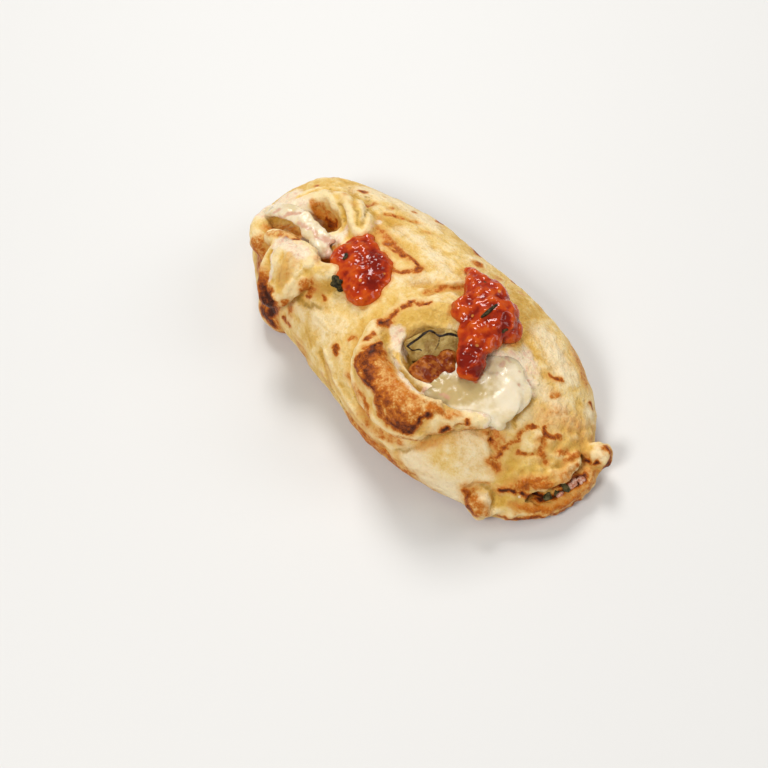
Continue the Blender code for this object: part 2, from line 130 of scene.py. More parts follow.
# Shapes that are fused into pieces. A roll is a path, a radius for each of its points and how flat it is.
# A ball is its centre, its radii, and its turn, pitch and roll in degrees.
DOUGH_SHAPES = [
    # The turned-out lip of the front opening, and its outer edge.
    (
        [(9, -24, 44), (15, -31, 43), (26, -36, 42), (40, -36, 41), (52, -31, 40)]
        + [(61, -23, 39.5), (68, -13, 38)],
        [4.0, 6.5, 8.0, 8.0, 6.6, 4.4, 3.0],
    ),
    (
        [(14, -36, 40), (22, -41, 38), (34, -43, 37), (46, -41, 36), (54, -36, 36)],
        [3.6, 4.6, 5.0, 4.8, 3.6],
        0.75,
    ),
    # The far and the near fold at the rear opening.
    (
        [(-73, -12, 41.5), (-67, -3.5, 43.5), (-57, 2, 45.5), (-47, 3.5, 47), (-37, 1, 47)],
        [5.0, 6.4, 7.0, 6.8, 5.5],
    ),
    (
        [(-66, -29, 41), (-56, -27, 44), (-44, -26, 45), (-32, -25, 45), (-26, -20, 46)],
        [4.0, 5.0, 5.5, 5.5, 4.5],
    ),
    # The near rear corner, high up and low down.
    ([(-86, -19, 32), (-81, -27, 33), (-73, -32, 34)], [5.0, 6.0, 6.0]),
    ((-54, -37, 9), (13, 10.5, 11)),
    # The tongue that is turned down over the near side, and its rim.
    ((-45, -37, 41), (9.5, 13.5, 4.6), -6, 0, 50),
    (
        [(-57, -31, 44.5), (-54, -39, 40), (-47, -46, 33.5)]
        + [(-39, -45, 35), (-35, -38, 41), (-34, -31, 45)],
        [2.8, 3.4, 3.8, 3.8, 3.4, 2.8],
    ),
    # The lower lip and the upper edge of the gaping end.
    (
        [(82, -25, 7), (89, -19.5, 6.5), (94, -13, 6), (98.5, -4, 6), (98.5, 7, 6.5), (96, 16, 8)],
        [5.4, 5.4, 5.2, 5.0, 5.0, 5.0],
    ),
    (
        [(78, -18, 18.5), (86, -12, 17.5), (92, -6, 16.5), (95.5, 3, 16), (93, 13, 17)],
        [4.5, 4.5, 4.2, 3.4, 2.8],
    ),
    # The ears at its corners.
    ((82.0, -26.5, 10.0), (8.5, 6.8, 6.8), -35),
    ((95.5, 22.5, 13.0), (5.4, 6.0, 5.6), 20),
]

# The torn hollow of the larger opening: deep at its rear, and shallow where cheese fills it.
FRONT_PIT = [
    ((33, -13, 46), (14.0, 12.0, 13.0), 14),
    ((42, -8, 47), (17, 14, 12), 16),
    ((55, -3, 45), (14, 14, 8), 10),
    ((36, -9, 56), (22, 19, 8), 16),
]

# The hollow of the rear opening: a hole with its flare, the cheese strand's bed and a small pit at its front.
REAR_PIT = [
    ((-55.5, -7.2, 49), (9.5, 5.2, 13), 10),
    ((-56, -8, 54), (15, 8, 7), 10),
    ((-48, -16, 48), (15, 5.2, 5.2), 12),
    ((-36, -18, 48), (6.5, 5.5, 8)),
]

# The slot of the gaping end. Deeper in it rises and narrows by these shares of its depth.
MOUTH_LINE = [(80, -20.5, 14), (90, -14.5, 12.5), (97.5, -7, 12), (101, 3, 12), (98, 15, 13.5)]
MOUTH_RADII = [1.8, 2.3, 2.4, 2.4, 2.0]
MOUTH_DEPTH = 15.0
MOUTH_STEP = 1.5
MOUTH_RISE = 0.12
MOUTH_NARROWING = 0.004

# A pool in the front opening that spills over its near front edge.
CHEESE_POOL = [
    ((55, -6, 38.5), (19, 16, 4.2), 10),
    ((48, -13, 37.5), (13, 10, 4.6), -15),
    ((55, 6, 40.1), (10, 8, 1.9), 0, 5),
    ((63, 1, 38.2), (10, 11, 2.3), 0, 9),
    ((43, -19.5, 39.5), (6.5, 5.0, 2.8), -30),
    ([(58, -12, 40.4), (66, -10, 39.6), (72, -9, 36.4)], [4.6, 4.0, 2.8], 0.5),
]

# A strand across the rear opening.
CHEESE_STRAND = [
    (
        [(-82, -21, 39.6), (-75, -18, 42.9), (-66, -15.5, 45.6)]
        + [(-57, -14, 46.2), (-50, -13, 46), (-44, -12, 46.2)],
        [3.0, 4.6, 4.6, 3.6, 3.0, 2.6],
        0.32,
    ),
    ((-44, -17.5, 44.8), (7.5, 4.2, 2.0)),
    ((-53, -15, 45.2), (8, 4.0, 1.8), 15),
]

# A heap on the far edge of the front opening, with a drip on the cheese.
SAUCE_FRONT = [
    ([(8.0, 24, 47.0), (13, 22.5, 48.8), (20, 20, 50)], [1.8, 3.2, 5.6], 0.8),
    ((27, 19, 49.5), (10, 9.5, 6.0)),
    ((36, 15, 49.5), (11, 11, 6.8)),
    ((41.5, 18, 45.5), (7.5, 6.5, 5.0), 0, 0, -20),
    ((40, 6, 49.0), (9.5, 9, 5.5)),
    ((28, 9, 51.0), (7, 7, 4.0)),
    ([(42, 1, 47.5), (46, -3, 46), (48.5, -5.5, 44.5)], [6.5, 6.0, 4.8], 0.75),
]

# A heap on the front edge of the rear opening.
SAUCE_REAR = [
    ((-18, -11, 48.0), (14, 12.5, 5.5), -20),
    ((-28, -7, 49.0), (8, 8, 4.2)),
    ((-28, -14, 48.0), (8, 7, 4.0)),
    ((-32, -2, 48.5), (5, 4.5, 3.0)),
    ((-11, -16, 47.0), (9, 8.5, 4.5)),
]

# Chunks of tomato in the heaps: how many, their middle, how far they spread from it, and the seed.
CHUNKS_FRONT = [(9, (34, 15, 49.5), (12, 8, 6.0), 3), (5, (40, 6, 49.0), (7, 6, 4.8), 5)]
CHUNKS_REAR = [(10, (-18, -11, 48.0), (11, 9, 4.8), 8)]

# A slice that stands on edge at the rear wall of the front opening.
AUBERGINE_TOP = [(22, -17, 43.8), (23.5, -12, 45.9), (25.5, -6.5, 46.8), (30, -1, 46.2), (34, 1.5, 44)]
AUBERGINE_FOOT = [(26, -17, 39), (29, -13, 39.2), (32, -9, 39), (35, -6, 39), (37, -3, 39)]

# A browned piece between the aubergine and the cheese.
SAUSAGE = [
    ((35.5, -17, 38.6), (7.6, 7.6, 4.8), 15),
    ((39, -10, 38.3), (6.0, 5.5, 4.2)),
    ((37.5, -13.5, 39.2), (5.0, 4.5, 3.4)),
    ((35.5, -7.0, 40.5), (4.6, 4.6, 3.2)),
]

# The parts of the herb leaf, across and along it from its middle, with their radius.
LEAF_PARTS = [(0.0, 0.0, 3.4), (-1.8, -1.6, 1.8), (1.4, 1.8, 2.0), (2.2, -1.0, 1.6)]
STEM_RADII = [0.6, 0.9, 0.8, 0.5]

# Uneven surfaces, as noises that are added up: size, height and offset of each.
BAKED_SWELL = [(21, 1.0, 0.0), (9, 0.5, 0.0)]
CRUST_GRAIN = [(5.0, 0.34, 0.0), (2.4, 0.16, 7.0)]
CHEESE_POOL_LUMPS = [(9, 0.5, 0.0), (3.5, 0.4, 2.0)]
CHEESE_STRAND_LUMPS = [(5.5, 1.0, 0.0), (2.6, 0.4, 2.0)]
SAUCE_LUMPS = [(4.4, 1.1, 0.0), (2.2, 0.45, 4.0)]
AUBERGINE_LUMPS = [(6, 1.0, 0.0), (2.2, 0.25, 3.0)]
SAUSAGE_LUMPS = [(6, 1.8, 0.0), (2.2, 0.5, 3.0)]
BIT_LUMPS = [(1.8, 1.0, 0.0), (0.8, 0.3, 3.0)]
LEAF_LUMPS = [(2.6, 0.8, 0.0)]

# Creases and swellings of the skin: width, height along the normal and path, all in millimetres.
SKIN_RELIEF = [
    (6.5, 3.4, [(10, -20, 48), (12, -8, 49), (20, 3, 49), (32, 11, 48), (46, 16, 47), (60, 14, 45),
                (69, 5, 42)]),
    (2.6, -1.3, [(-6, -46, 27), (12, -48, 28), (34, -48, 26), (54, -45, 22)]),
    (2.8, 1.0, [(-4, -49, 20), (14, -50, 21), (36, -50, 19), (56, -46, 15)]),
    (2.2, -1.7, [(50, -44, 24), (57, -40, 30), (66, -30, 35), (71, -19, 37)]),
    (3.0, 0.9, [(48, -42, 30), (56, -36, 35), (64, -26, 39)]),
    (1.6, -1.2, [(71, -3, 38), (71, 4, 39), (67, 11, 41)]),
    (2.4, -1.1, [(74, -14, 34), (80, -13, 32), (86, -14, 27)]),
    (3.0, 1.0, [(-2, 6, 49), (6, 14, 48), (12, 24, 46)]),
    (2.2, -1.3, [(2, 2, 49), (10, 10, 49), (18, 20, 48)]),
    (4.0, 0.7, [(-30, 10, 48), (-16, 14, 48), (0, 16, 48)]),
    (3.0, -1.2, [(-48, -45, 26), (-36, -44, 28), (-24, -44, 28)]),
    (5.0, 0.8, [(-28, -30, 42), (-20, -35, 39), (-6, -38, 37)]),
    (2.4, -1.0, [(74, 22, 32), (84, 18, 28), (90, 14, 22)]),
    (3.6, -2.2, [(-44, -31, 46), (-44, -39, 40)]),
    (3.0, -1.2, [(-60, -38, 36), (-56, -44, 28), (-54, -46, 20)]),
]

# The same, with paths in the photograph's pixels. The widths and heights are still millimetres.
SEEN_RELIEF = [
    (1.5, 0.9, [(388, 350), (395, 368), (406, 386), (419, 398), (436, 404), (456, 407), (474, 413)]),
    (1.6, -1.3, [(397, 452), (420, 446), (440, 436), (458, 428)]),
    (2.0, -1.2, [(460, 430), (463, 428)]),
    (2.0, -1.2, [(477, 430), (481, 429)]),
    (1.5, 0.8, [(488, 430), (486, 446), (490, 462), (492, 478)]),
    (1.3, -0.9, [(493, 432), (491, 447), (495, 462)]),
    (1.6, 0.9, [(326, 352), (340, 388), (362, 420), (392, 447)]),
    (1.4, -0.9, [(320, 352), (333, 390), (355, 424), (388, 454)]),
    (1.6, 0.8, [(314, 350), (327, 390), (348, 426), (380, 457)]),
    (1.3, -0.8, [(350, 378), (358, 402), (370, 424)]),
    (1.2, -1.0, [(515, 415), (523, 407), (532, 399)]),
    (1.2, 0.6, [(511, 411), (519, 403), (528, 396)]),
    (1.1, -0.8, [(513, 420), (515, 428)]),
    (1.2, -1.0, [(553, 468), (562, 465), (575, 460)]),
    (1.5, -2.0, [(468, 490), (476, 486), (485, 486), (492, 491), (495, 500), (492, 510)]),
    (4.6, 1.8, [(479, 501)]),
    (1.2, 0.7, [(420, 290), (440, 284), (462, 283)]),
    (1.6, -0.7, [(426, 294), (445, 290), (464, 289)]),
    (1.3, -0.8, [(384, 213), (400, 217), (418, 222)]),
    (1.8, 0.7, [(300, 196), (316, 190), (338, 189)]),
    (1.5, -1.2, [(331, 190), (339, 204), (344, 221)]),
    (1.4, -1.1, [(351, 188), (355, 204), (358, 224)]),
    (1.4, -0.9, [(368, 198), (367, 212), (362, 226)]),
    (1.6, 0.8, [(341, 190), (347, 204), (351, 222)]),
    (1.5, 0.7, [(360, 192), (361, 208), (360, 224)]),
    (1.5, 0.9, [(318, 190), (327, 196), (334, 208)]),
    (1.2, -0.9, [(284, 256), (281, 268), (280, 280)]),
    (1.1, 0.7, [(289, 256), (287, 268), (285, 282)]),
    (1.2, -0.7, [(296, 258), (292, 268), (288, 280)]),
    (2.2, -0.9, [(300, 300), (310, 306), (322, 308)]),
    (2.8, 1.5, [(306, 285), (311, 289)]),
    (1.8, -0.9, [(262, 292), (274, 304), (284, 316)]),
    (1.3, -0.7, [(388, 318), (398, 311), (412, 305), (428, 303)]),
    (1.5, 0.6, [(392, 240), (402, 250), (410, 260), (418, 268)]),
]

# Folds that lie on the skin with an edge all round: height in millimetres, then the outline in pixels.
TONGUE = [(276, 247), (271, 256), (272, 268), (269, 280), (266, 289), (269, 297), (278, 301), (286, 297),
          (291, 288)]
TONGUE += [(298, 277), (308, 268), (318, 262), (326, 258), (316, 250), (304, 243), (290, 241)]
LIP_RIM = [(381, 341), (373, 345), (364, 350), (356, 357), (354, 364), (358, 373), (364, 380),
           (371, 386), (376, 392)]
LIP_RIM += [(374, 399), (374, 407), (377, 416), (385, 422), (394, 425), (401, 429), (406, 427),
            (410, 434), (416, 432)]
LIP_RIM += [(425, 420), (434, 412), (447, 414)]
LIP_INSIDE = [(440, 404), (422, 397), (405, 384), (394, 368), (388, 352)]
SEEN_FOLDS = [
    (1.3, TONGUE),
    (1.1, LIP_RIM + LIP_INSIDE),
    (0.9, [(519, 436), (527, 429), (536, 429), (543, 433), (541, 444), (537, 451), (527, 454), (519, 450)]),
]

# How brown the crust is, with painted shade in the mouth's slot, the rear hole and two crevices: level from 0
# to 1, width in millimetres, then the path in pixels.
TOAST_AND_SHADE = [
    (0.84, 1.5, [(380, 342), (372, 346), (364, 351), (357, 358), (355, 365), (359, 374), (365, 381),
                 (371, 387)]),
    (0.74, 5.0, [(374, 349), (364, 358), (365, 366), (371, 376)]),
    (0.66, 3.2, [(376, 390), (378, 402), (381, 413)]),
    (0.72, 3.4, [(388, 420), (399, 425), (410, 428), (417, 422)]),
    (0.58, 5.0, [(382, 396), (388, 408), (400, 418), (412, 424)]),
    (0.42, 3.4, [(428, 407), (440, 411), (454, 414)]),
    (0.55, 1.6, [(552, 489), (562, 486), (571, 480), (576, 472), (578, 464)]),
    (0.90, 1.8, [(406, 430), (411, 432), (416, 425), (421, 419), (428, 414)]),
    (0.90, 1.5, [(443, 431), (447, 429)]),
    (0.66, 1.5, [(466, 423), (468, 424)]),
    (0.90, 1.8, [(381, 322), (388, 323), (390, 319)]),
    (0.76, 1.1, [(388, 317), (397, 311), (405, 307), (412, 304), (420, 303), (430, 303)]),
    (0.62, 1.6, [(372, 334), (366, 339)]),
    (0.45, 2.0, [(351, 338), (356, 339)]),
    (0.46, 2.4, [(426, 294), (440, 289), (464, 288)]),
    (0.66, 1.5, [(386, 243), (395, 244), (401, 253), (411, 258), (418, 265), (417, 271), (402, 272),
                 (391, 268)]),
    (0.82, 0.9, [(401, 254), (412, 259), (418, 266), (415, 271)]),
    (0.42, 4.0, [(376, 228), (386, 236), (394, 246)]),
    (0.74, 1.0, [(380, 255), (387, 249), (396, 251)]),
    (0.48, 1.5, [(385, 214), (402, 219), (418, 223)]),
    (0.44, 1.6, [(423, 231), (428, 233)]),
    (0.74, 1.4, [(432, 214), (438, 218)]),
    (0.50, 2.0, [(366, 206), (374, 204)]),
    # Painted shade in the rear hole.
    (0.80, 1.8, [(327, 221), (332, 226), (336, 222)]),
    (0.50, 0.8, [(312, 203), (316, 211), (318, 220)]),
    # Painted shade in the crevice under the pocket.
    (0.86, 1.5, [(284, 238), (292, 240), (302, 239)]),
    (0.54, 6.0, [(257, 246), (259, 262), (262, 280)]),
    (1.0, 4.4, [(264, 294), (268, 304), (272, 311)]),
    (0.34, 4.0, [(350, 376), (358, 396), (364, 412), (376, 430), (398, 441)]),
    (0.96, 3.8, [(262, 288), (266, 300), (272, 310)]),
    (0.84, 3.4, [(262, 308), (267, 317), (273, 325)]),
    (0.44, 6.5, [(264, 296), (270, 312), (278, 324)]),
    (0.52, 3.0, [(285, 303), (290, 311)]),
    (0.66, 1.6, [(284, 318), (289, 324)]),
    (0.48, 3.4, [(304, 286), (310, 290), (313, 284)]),
    (0.56, 1.4, [(301, 290), (307, 296), (314, 294)]),
    (0.62, 1.3, [(323, 294), (325, 300)]),
    (0.26, 6.0, [(298, 252), (287, 264), (281, 280)]),
    (0.30, 0.9, [(296, 262), (290, 272), (286, 284)]),
    (0.40, 3.0, [(597, 472), (592, 483), (584, 492), (572, 501)]),
    (0.42, 2.6, [(566, 460), (578, 454), (585, 460)]),
    (0.66, 2.0, [(335, 347), (337, 354)]),
    (0.44, 8.0, [(334, 398), (352, 424), (377, 448), (408, 474), (436, 494)]),
    (0.46, 2.4, [(360, 394), (368, 414), (382, 436)]),
    (0.30, 3.4, [(420, 446), (440, 441)]),
    (0.38, 4.8, [(489, 434), (495, 438), (500, 446)]),
    (0.84, 1.6, [(490, 440), (492, 443)]),
    (0.62, 1.3, [(497, 457), (506, 449), (516, 442), (521, 434), (528, 428), (536, 427)]),
    (0.50, 3.2, [(492, 460), (497, 470)]),
    (0.66, 1.3, [(544, 425), (547, 434)]),
    (0.66, 1.4, [(547, 435), (555, 437), (562, 438)]),
    (0.44, 3.2, [(543, 441), (539, 450), (545, 460)]),
    (0.54, 1.1, [(518, 452), (526, 455), (537, 452)]),
    (0.28, 9.0, [(546, 418), (562, 420), (578, 430)]),
    (0.50, 2.4, [(559, 451), (564, 452)]),
    (0.42, 2.4, [(553, 394), (558, 395)]),
    (0.90, 1.2, [(517, 400), (521, 397)]),
    (0.74, 1.1, [(546, 374), (553, 377), (560, 380)]),
    (0.38, 6.0, [(574, 350), (583, 364), (586, 380)]),
    (0.46, 4.0, [(512, 272), (522, 282), (536, 302)]),
    (0.84, 1.1, [(590, 403), (592, 407)]),
    (0.55, 4.0, [(522, 484), (536, 484), (548, 486)]),
    # Painted shade in the mouth's slot.
    (0.97, 1.3, [(500, 491), (510, 490), (522, 492), (533, 493), (545, 497)]),
    (0.97, 1.6, [(526, 495), (540, 499), (556, 496), (570, 489), (582, 481)]),
    # Painted shade in the crevice beside the right ear.
    (0.95, 1.0, [(587, 461), (592, 464), (597, 461)]),
    (0.90, 1.4, [(558, 487), (572, 480), (584, 474)]),
    (0.60, 3.6, [(467, 494), (467, 505), (473, 514)]),
    (0.40, 5.6, [(471, 494), (472, 505), (481, 513)]),
    (0.48, 3.0, [(520, 508), (540, 511), (560, 507), (576, 498)]),
    (0.70, 1.5, [(500, 516), (520, 518), (545, 517), (566, 509), (580, 500)]),
    (0.97, 1.6, [(609, 462), (607, 467)]),
    (0.66, 2.8, [(608, 449), (610, 458)]),
]
MOUTH_CORNER = [(549, 492), (546, 480), (552, 469), (574, 460), (590, 461), (604, 470), (588, 481),
                (572, 487)]
REAR_HOLE = [(309, 203), (315, 197), (324, 201), (334, 212), (337, 223), (329, 230), (318, 226), (311, 217)]
POCKET = [(262, 221), (280, 222), (296, 226), (306, 232), (302, 239), (284, 239), (266, 238)]

# Where the crust is evenly tanned: level and outline.
TOAST_PATCHES = [(0.40, LIP_RIM + LIP_INSIDE), (0.32, MOUTH_CORNER), (0.38, REAR_HOLE), (0.36, POCKET)]

# Orange oil and sauce soaked into the crust.
OIL = [
    (0.60, 3.0, [(508, 484), (526, 482), (548, 486), (568, 478)]),
    (0.75, 2.6, [(510, 506), (534, 508), (556, 504), (580, 490)]),
    (0.60, 2.6, [(382, 236), (394, 246)]),
    (0.85, 2.6, [(312, 203), (317, 212), (319, 220)]),
    (0.70, 4.0, [(266, 228), (284, 229), (300, 233)]),
    (0.70, 3.0, [(392, 366), (396, 376), (406, 390)]),
    (0.60, 2.4, [(428, 406), (446, 409), (462, 416)]),
    (0.75, 3.4, [(318, 258), (330, 262)]),
    (0.90, 3.4, [(328, 240), (338, 248)]),
]

# A white and pink film of cheese and thinned sauce, with painted light on a shaded wall and a painted
# highlight on the lower lip.
MILK_AND_LIGHT = [
    (0.95, 6.0, [(264, 210), (280, 204), (298, 206)]),
    (0.90, 4.6, [(268, 205), (282, 198), (296, 194)]),
    (0.85, 2.6, [(300, 200), (308, 212), (318, 226)]),
    (0.90, 4.4, [(280, 244), (292, 245), (302, 252)]),
    # Painted light on the shaded left wall of the front opening.
    (0.95, 3.2, [(396, 330), (400, 344), (404, 355)]),
    (0.80, 3.0, [(336, 240), (346, 232)]),
    (0.85, 1.5, [(275, 247), (271, 257), (272, 268), (269, 279)]),
    (0.90, 3.2, [(306, 238), (316, 244)]),
    (0.85, 2.6, [(484, 410), (494, 414), (506, 408)]),
    (0.60, 5.0, [(524, 350), (530, 366), (526, 384)]),
    (0.70, 2.2, [(396, 362), (404, 378), (418, 392)]),
    # A painted highlight on the lower lip.
    (0.90, 1.0, [(521, 497), (525, 500)]),
    (0.60, 1.8, [(372, 227), (380, 222)]),
]

# Flour that stayed on the crust, and pale painted light on its right edge and on a shaded wall of the front
# opening.
FLOUR_AND_LIGHT = [
    (0.60, 9.0, [(470, 440), (476, 456), (474, 472)]),
    (0.95, 9.0, [(412, 462), (432, 482), (452, 492)]),
    # Flour, and painted light on the crust's right edge.
    (0.80, 7.0, [(592, 412), (598, 440)]),
    (0.55, 8.0, [(330, 330), (316, 316)]),
    (0.75, 9.0, [(366, 190), (400, 202), (430, 222)]),
    (0.55, 9.0, [(480, 262), (516, 284)]),
    (0.80, 8.0, [(545, 335), (556, 352), (566, 372)]),
    (0.70, 6.0, [(536, 385), (546, 394), (560, 404)]),
    (0.70, 3.6, [(484, 498), (488, 506)]),
    (0.70, 3.6, [(601, 448), (603, 456)]),
    (0.60, 5.0, [(400, 230), (430, 250), (446, 270)]),
    (0.55, 5.0, [(404, 278), (430, 276)]),
    # Painted light on the shaded left wall of the front opening.
    (0.60, 2.4, [(393, 362), (392, 350), (394, 340)]),
]

# Where the melted cheese is clear, and where sauce or meat stains it.
CHEESE_CLEAR_AT = [
    (1.0, 6.5, [(440, 386), (456, 388), (474, 390)]),
    (0.9, 4.0, [(448, 398), (466, 398)]),
    (0.6, 4.0, [(494, 378), (490, 392)]),
]
CHEESE_PINK_AT = [
    (0.7, 1.2, [(499, 366), (503, 363)]),
    (0.6, 1.4, [(498, 372), (497, 378)]),
    (0.6, 1.2, [(507, 357), (510, 362)]),
    (0.8, 1.1, [(519, 361), (520, 370)]),
    (0.8, 1.2, [(519, 385), (522, 390)]),
    (0.8, 1.2, [(440, 394), (448, 396)]),
    (0.9, 1.6, [(274, 213), (284, 207), (292, 200)]),
    (0.9, 1.4, [(280, 217), (290, 213), (300, 214)]),
    (0.8, 1.6, [(300, 222), (312, 231), (318, 238)]),
    (0.9, 3.2, [(324, 238), (332, 243), (338, 240)]),
]

# Where the sauce is painted darker red.
DEEP_SAUCE_AT = [
    (1.0, 5.0, [(464, 358), (472, 366), (478, 372)]),
    (0.8, 4.0, [(374, 256), (376, 268), (372, 280)]),
    (0.8, 2.6, [(498, 312), (506, 320), (500, 328)]),
]

# The dark skin of the aubergine slice.
AUBERGINE_SKIN_AT = [
    (1.0, 0.65, [(407, 346), (413, 342), (420, 337), (428, 331), (433, 332), (440, 336), (449, 334),
                 (458, 336)]),
    (0.9, 0.45, [(408, 347), (413, 350), (421, 350), (427, 356)]),
    (0.7, 0.4, [(440, 337), (439, 343), (435, 350)]),
]

# Mustard-yellow, moist dough.
YELLOW = [
    (0.95, 5.0, [(398, 322), (412, 316), (430, 313), (448, 310)]),
    (0.95, 4.0, [(394, 362), (395, 348), (400, 334), (416, 325), (440, 322)]),
    (0.95, 5.0, [(504, 478), (512, 482), (516, 486)]),
    (0.95, 3.0, [(546, 478), (555, 482), (552, 489)]),
    (0.70, 4.0, [(500, 464), (516, 468), (536, 472)]),
    (0.95, 3.4, [(500, 500), (512, 504), (530, 506), (560, 503), (578, 492)]),
    (0.80, 2.6, [(600, 467), (604, 466)]),
    (0.55, 4.0, [(464, 474), (480, 480)]),
    (0.50, 5.0, [(310, 320), (330, 312)]),
    (0.50, 5.0, [(395, 300), (370, 318)]),
    (0.70, 2.6, [(338, 196), (342, 206), (344, 216)]),
    (0.75, 2.2, [(356, 198), (358, 210), (360, 224)]),
    (0.95, 3.4, [(284, 262), (283, 276), (279, 290)]),
    (0.60, 1.6, [(338, 202), (342, 212), (345, 222)]),
    (0.60, 1.6, [(354, 196), (356, 210), (358, 222)]),
    (0.70, 3.0, [(308, 276), (316, 270), (326, 268)]),
    (0.70, 3.0, [(386, 346), (389, 358), (392, 370)]),
    (0.60, 3.0, [(500, 424), (508, 416), (520, 404)]),
    (0.60, 4.0, [(548, 446), (560, 444), (574, 446)]),
]

# Small pieces on the surface: pixel, length, width and thickness in millimetres, and turn in degrees.
HERB_BITS = [((346, 256), 3.6, 1.8, 1.0, 60), ((485, 282), 2.0, 1.2, 0.8, 20),
             ((505, 331), 2.2, 1.0, 0.8, 100)]
GREENS = [((566, 488), 4.6, 3.4, 2.0, 70), ((548, 497), 4.8, 3.0, 1.8, 50),
          ((557, 493), 3.8, 2.8, 1.6, 100)]
HAM = [((573, 484), 4.6, 3.6, 2.2, 60), ((581, 480), 3.8, 3.0, 2.0, 20), ((560, 494), 3.4, 2.6, 1.8, 80)]
HERB_LEAF_AT = (339, 283)
HERB_STEM_AT = [(482, 317), (487, 313), (492, 309), (497, 305)]


def to_frame(point):
    """A place in the forms' millimetres, in the frame's metres."""
    return (Vector(point) + CENTRE_SHIFT) * MM


def from_frame(place):
    """A place in the frame's metres, in the forms' millimetres."""
    return place / MM - CENTRE_SHIFT


def link(name, data):
    """A new object in the scene."""
    obj = bpy.data.objects.new(name, data)
    bpy.context.scene.collection.objects.link(obj)
    return obj


# ---- camera


def make_camera():
    azimuth, elevation = math.radians(CAMERA_AZIMUTH), math.radians(CAMERA_ELEVATION)
    level = math.cos(elevation)
    back = Vector((math.sin(azimuth) * level, -math.cos(azimuth) * level, math.sin(elevation)))
    lens = bpy.data.cameras.new("camera")
    lens.sensor_width = SENSOR_WIDTH
    lens.lens = SENSOR_WIDTH * FOCAL_PIXELS / PHOTO_SIZE
    camera = link("camera", lens)
    camera.location = to_frame(CAMERA_AIM + back * CAMERA_DISTANCE)
    camera.rotation_mode = "QUATERNION"
    roll = Quaternion((0, 0, 1), math.radians(CAMERA_ROLL))
    camera.rotation_quaternion = (-back).to_track_quat("-Z", "Y") @ roll
    bpy.context.scene.camera = camera
    return camera


def seen(camera, tree, pixel):
    """The place in the frame, and the surface's normal there, that the photograph shows at this pixel."""
    middle = PHOTO_SIZE / 2
    across = (pixel[0] - middle) / FOCAL_PIXELS
    down = (pixel[1] - middle) / FOCAL_PIXELS
    ray = camera.rotation_quaternion @ Vector((across, -down, -1)).normalized()
    return tree.ray_cast(camera.location, ray)[:2]


def pixels_of(camera, points):
    """Where the photograph shows points that are given in the forms' millimetres."""
    turn = np.array(camera.rotation_quaternion.to_matrix())
    from_lens = (points + np.array(CENTRE_SHIFT)) * MM - np.array(camera.location)
    across, up, back = (from_lens @ turn).T
    return np.stack([across, -up], 1) / -back[:, None] * FOCAL_PIXELS + PHOTO_SIZE / 2


def cast_strokes(camera, tree, strokes):
    """The strokes with the paths that their pixels make on a surface, in the forms' millimetres."""
    found = []
    for first, second, pixels in strokes:
        hits = [seen(camera, tree, pixel)[0] for pixel in pixels]
        path = [from_frame(hit) for hit in hits if hit]
        if path:
            found.append((first, second, path))
    return found


# ---- forms


def superellipse(share, power, root):
    """The height at this share of the half span, of a curve that is 1 in the middle and 0 at the end."""
    return np.clip(1 - np.abs(share) ** power, 0, 1) ** root


def eased(share, values):
    """A smooth curve through the values at the outline's shares."""
    stations = np.array(OUTLINE_SHARES)
    heights = np.array(values)
    slopes = np.gradient(heights, stations)
    i = np.clip(np.searchsorted(stations, share) - 1, 0, len(stations) - 2)
    span = stations[i + 1] - stations[i]
    t = (share - stations[i]) / span
    start = (2 * t**3 - 3 * t**2 + 1) * heights[i] + (t**3 - 2 * t**2 + t) * span * slopes[i]
    end = (3 * t**2 - 2 * t**3) * heights[i + 1] + (t**3 - t**2) * span * slopes[i + 1]
    return start + end


def loaf_bmesh(inset_end, inset_side, inset_top, base):
    """The loaf's form, with room left off its ends, sides and top, for the form of its cavity."""
    bm = bmesh.new()
    along_x = Matrix.Rotation(math.pi / 2, 4, "Y")
    bmesh.ops.create_uvsphere(bm, u_segments=96, v_segments=80, radius=1, matrix=along_x)
    unit = np.array([v.co for v in bm.verts])
    share = unit[:, 0]
    around = np.arctan2(unit[:, 2], unit[:, 1])
    inward = superellipse(share, *WALL_CURVE)
    ends = superellipse(share, *PLAN_CURVE)
    near = np.maximum(eased(share, NEAR_HALF_WIDTHS) * ends - inset_side * inward, 0.0)
    far = np.maximum(eased(share, FAR_HALF_WIDTHS) * ends - inset_side * inward, 0.0)
    low = base + (END_TIP_HEIGHT - base) * (1 - superellipse(share, *BASE_CURVE))
    blunt_end = superellipse(share, *BLUNT_END_CURVE)
    sloping_end = superellipse(share, *SLOPING_END_CURVE)
    rise = (LOAF_HEIGHT - inset_top - base) * np.where(share < 0, blunt_end, sloping_end)
    high = low + rise
    widest = low + (high - low) * WIDEST_SHARE
    side, up = np.cos(around), np.sin(around)
    x = (np.where(share < 0, REAR_LENGTH, FRONT_LENGTH) - inset_end) * share
    y = np.where(side > 0, far, near) * np.sign(side) * np.abs(side) ** SECTION_ROUND
    above = widest + (high - widest) * np.abs(up) ** SECTION_ROUND
    below = widest - (widest - low) * np.abs(up) ** UNDERSIDE_ROUND
    z = np.where(up > 0, above, below)
    for vert, place in zip(bm.verts, np.stack([x, y, z], 1)):
        vert.co = place
    return bm


def add_ball(bm, centre, radii, turn=0.0, pitch=0.0, roll=0.0, detail=4):
    """An ellipsoid, turned about Z after it is rolled about X and pitched about Y, in degrees."""
    spin = Euler([math.radians(a) for a in (roll, pitch, turn)]).to_matrix().to_4x4()
    place = Matrix.Translation(centre) @ spin @ Matrix.Diagonal((*radii, 1))
    bmesh.ops.create_icosphere(bm, subdivisions=detail, radius=1, matrix=place)


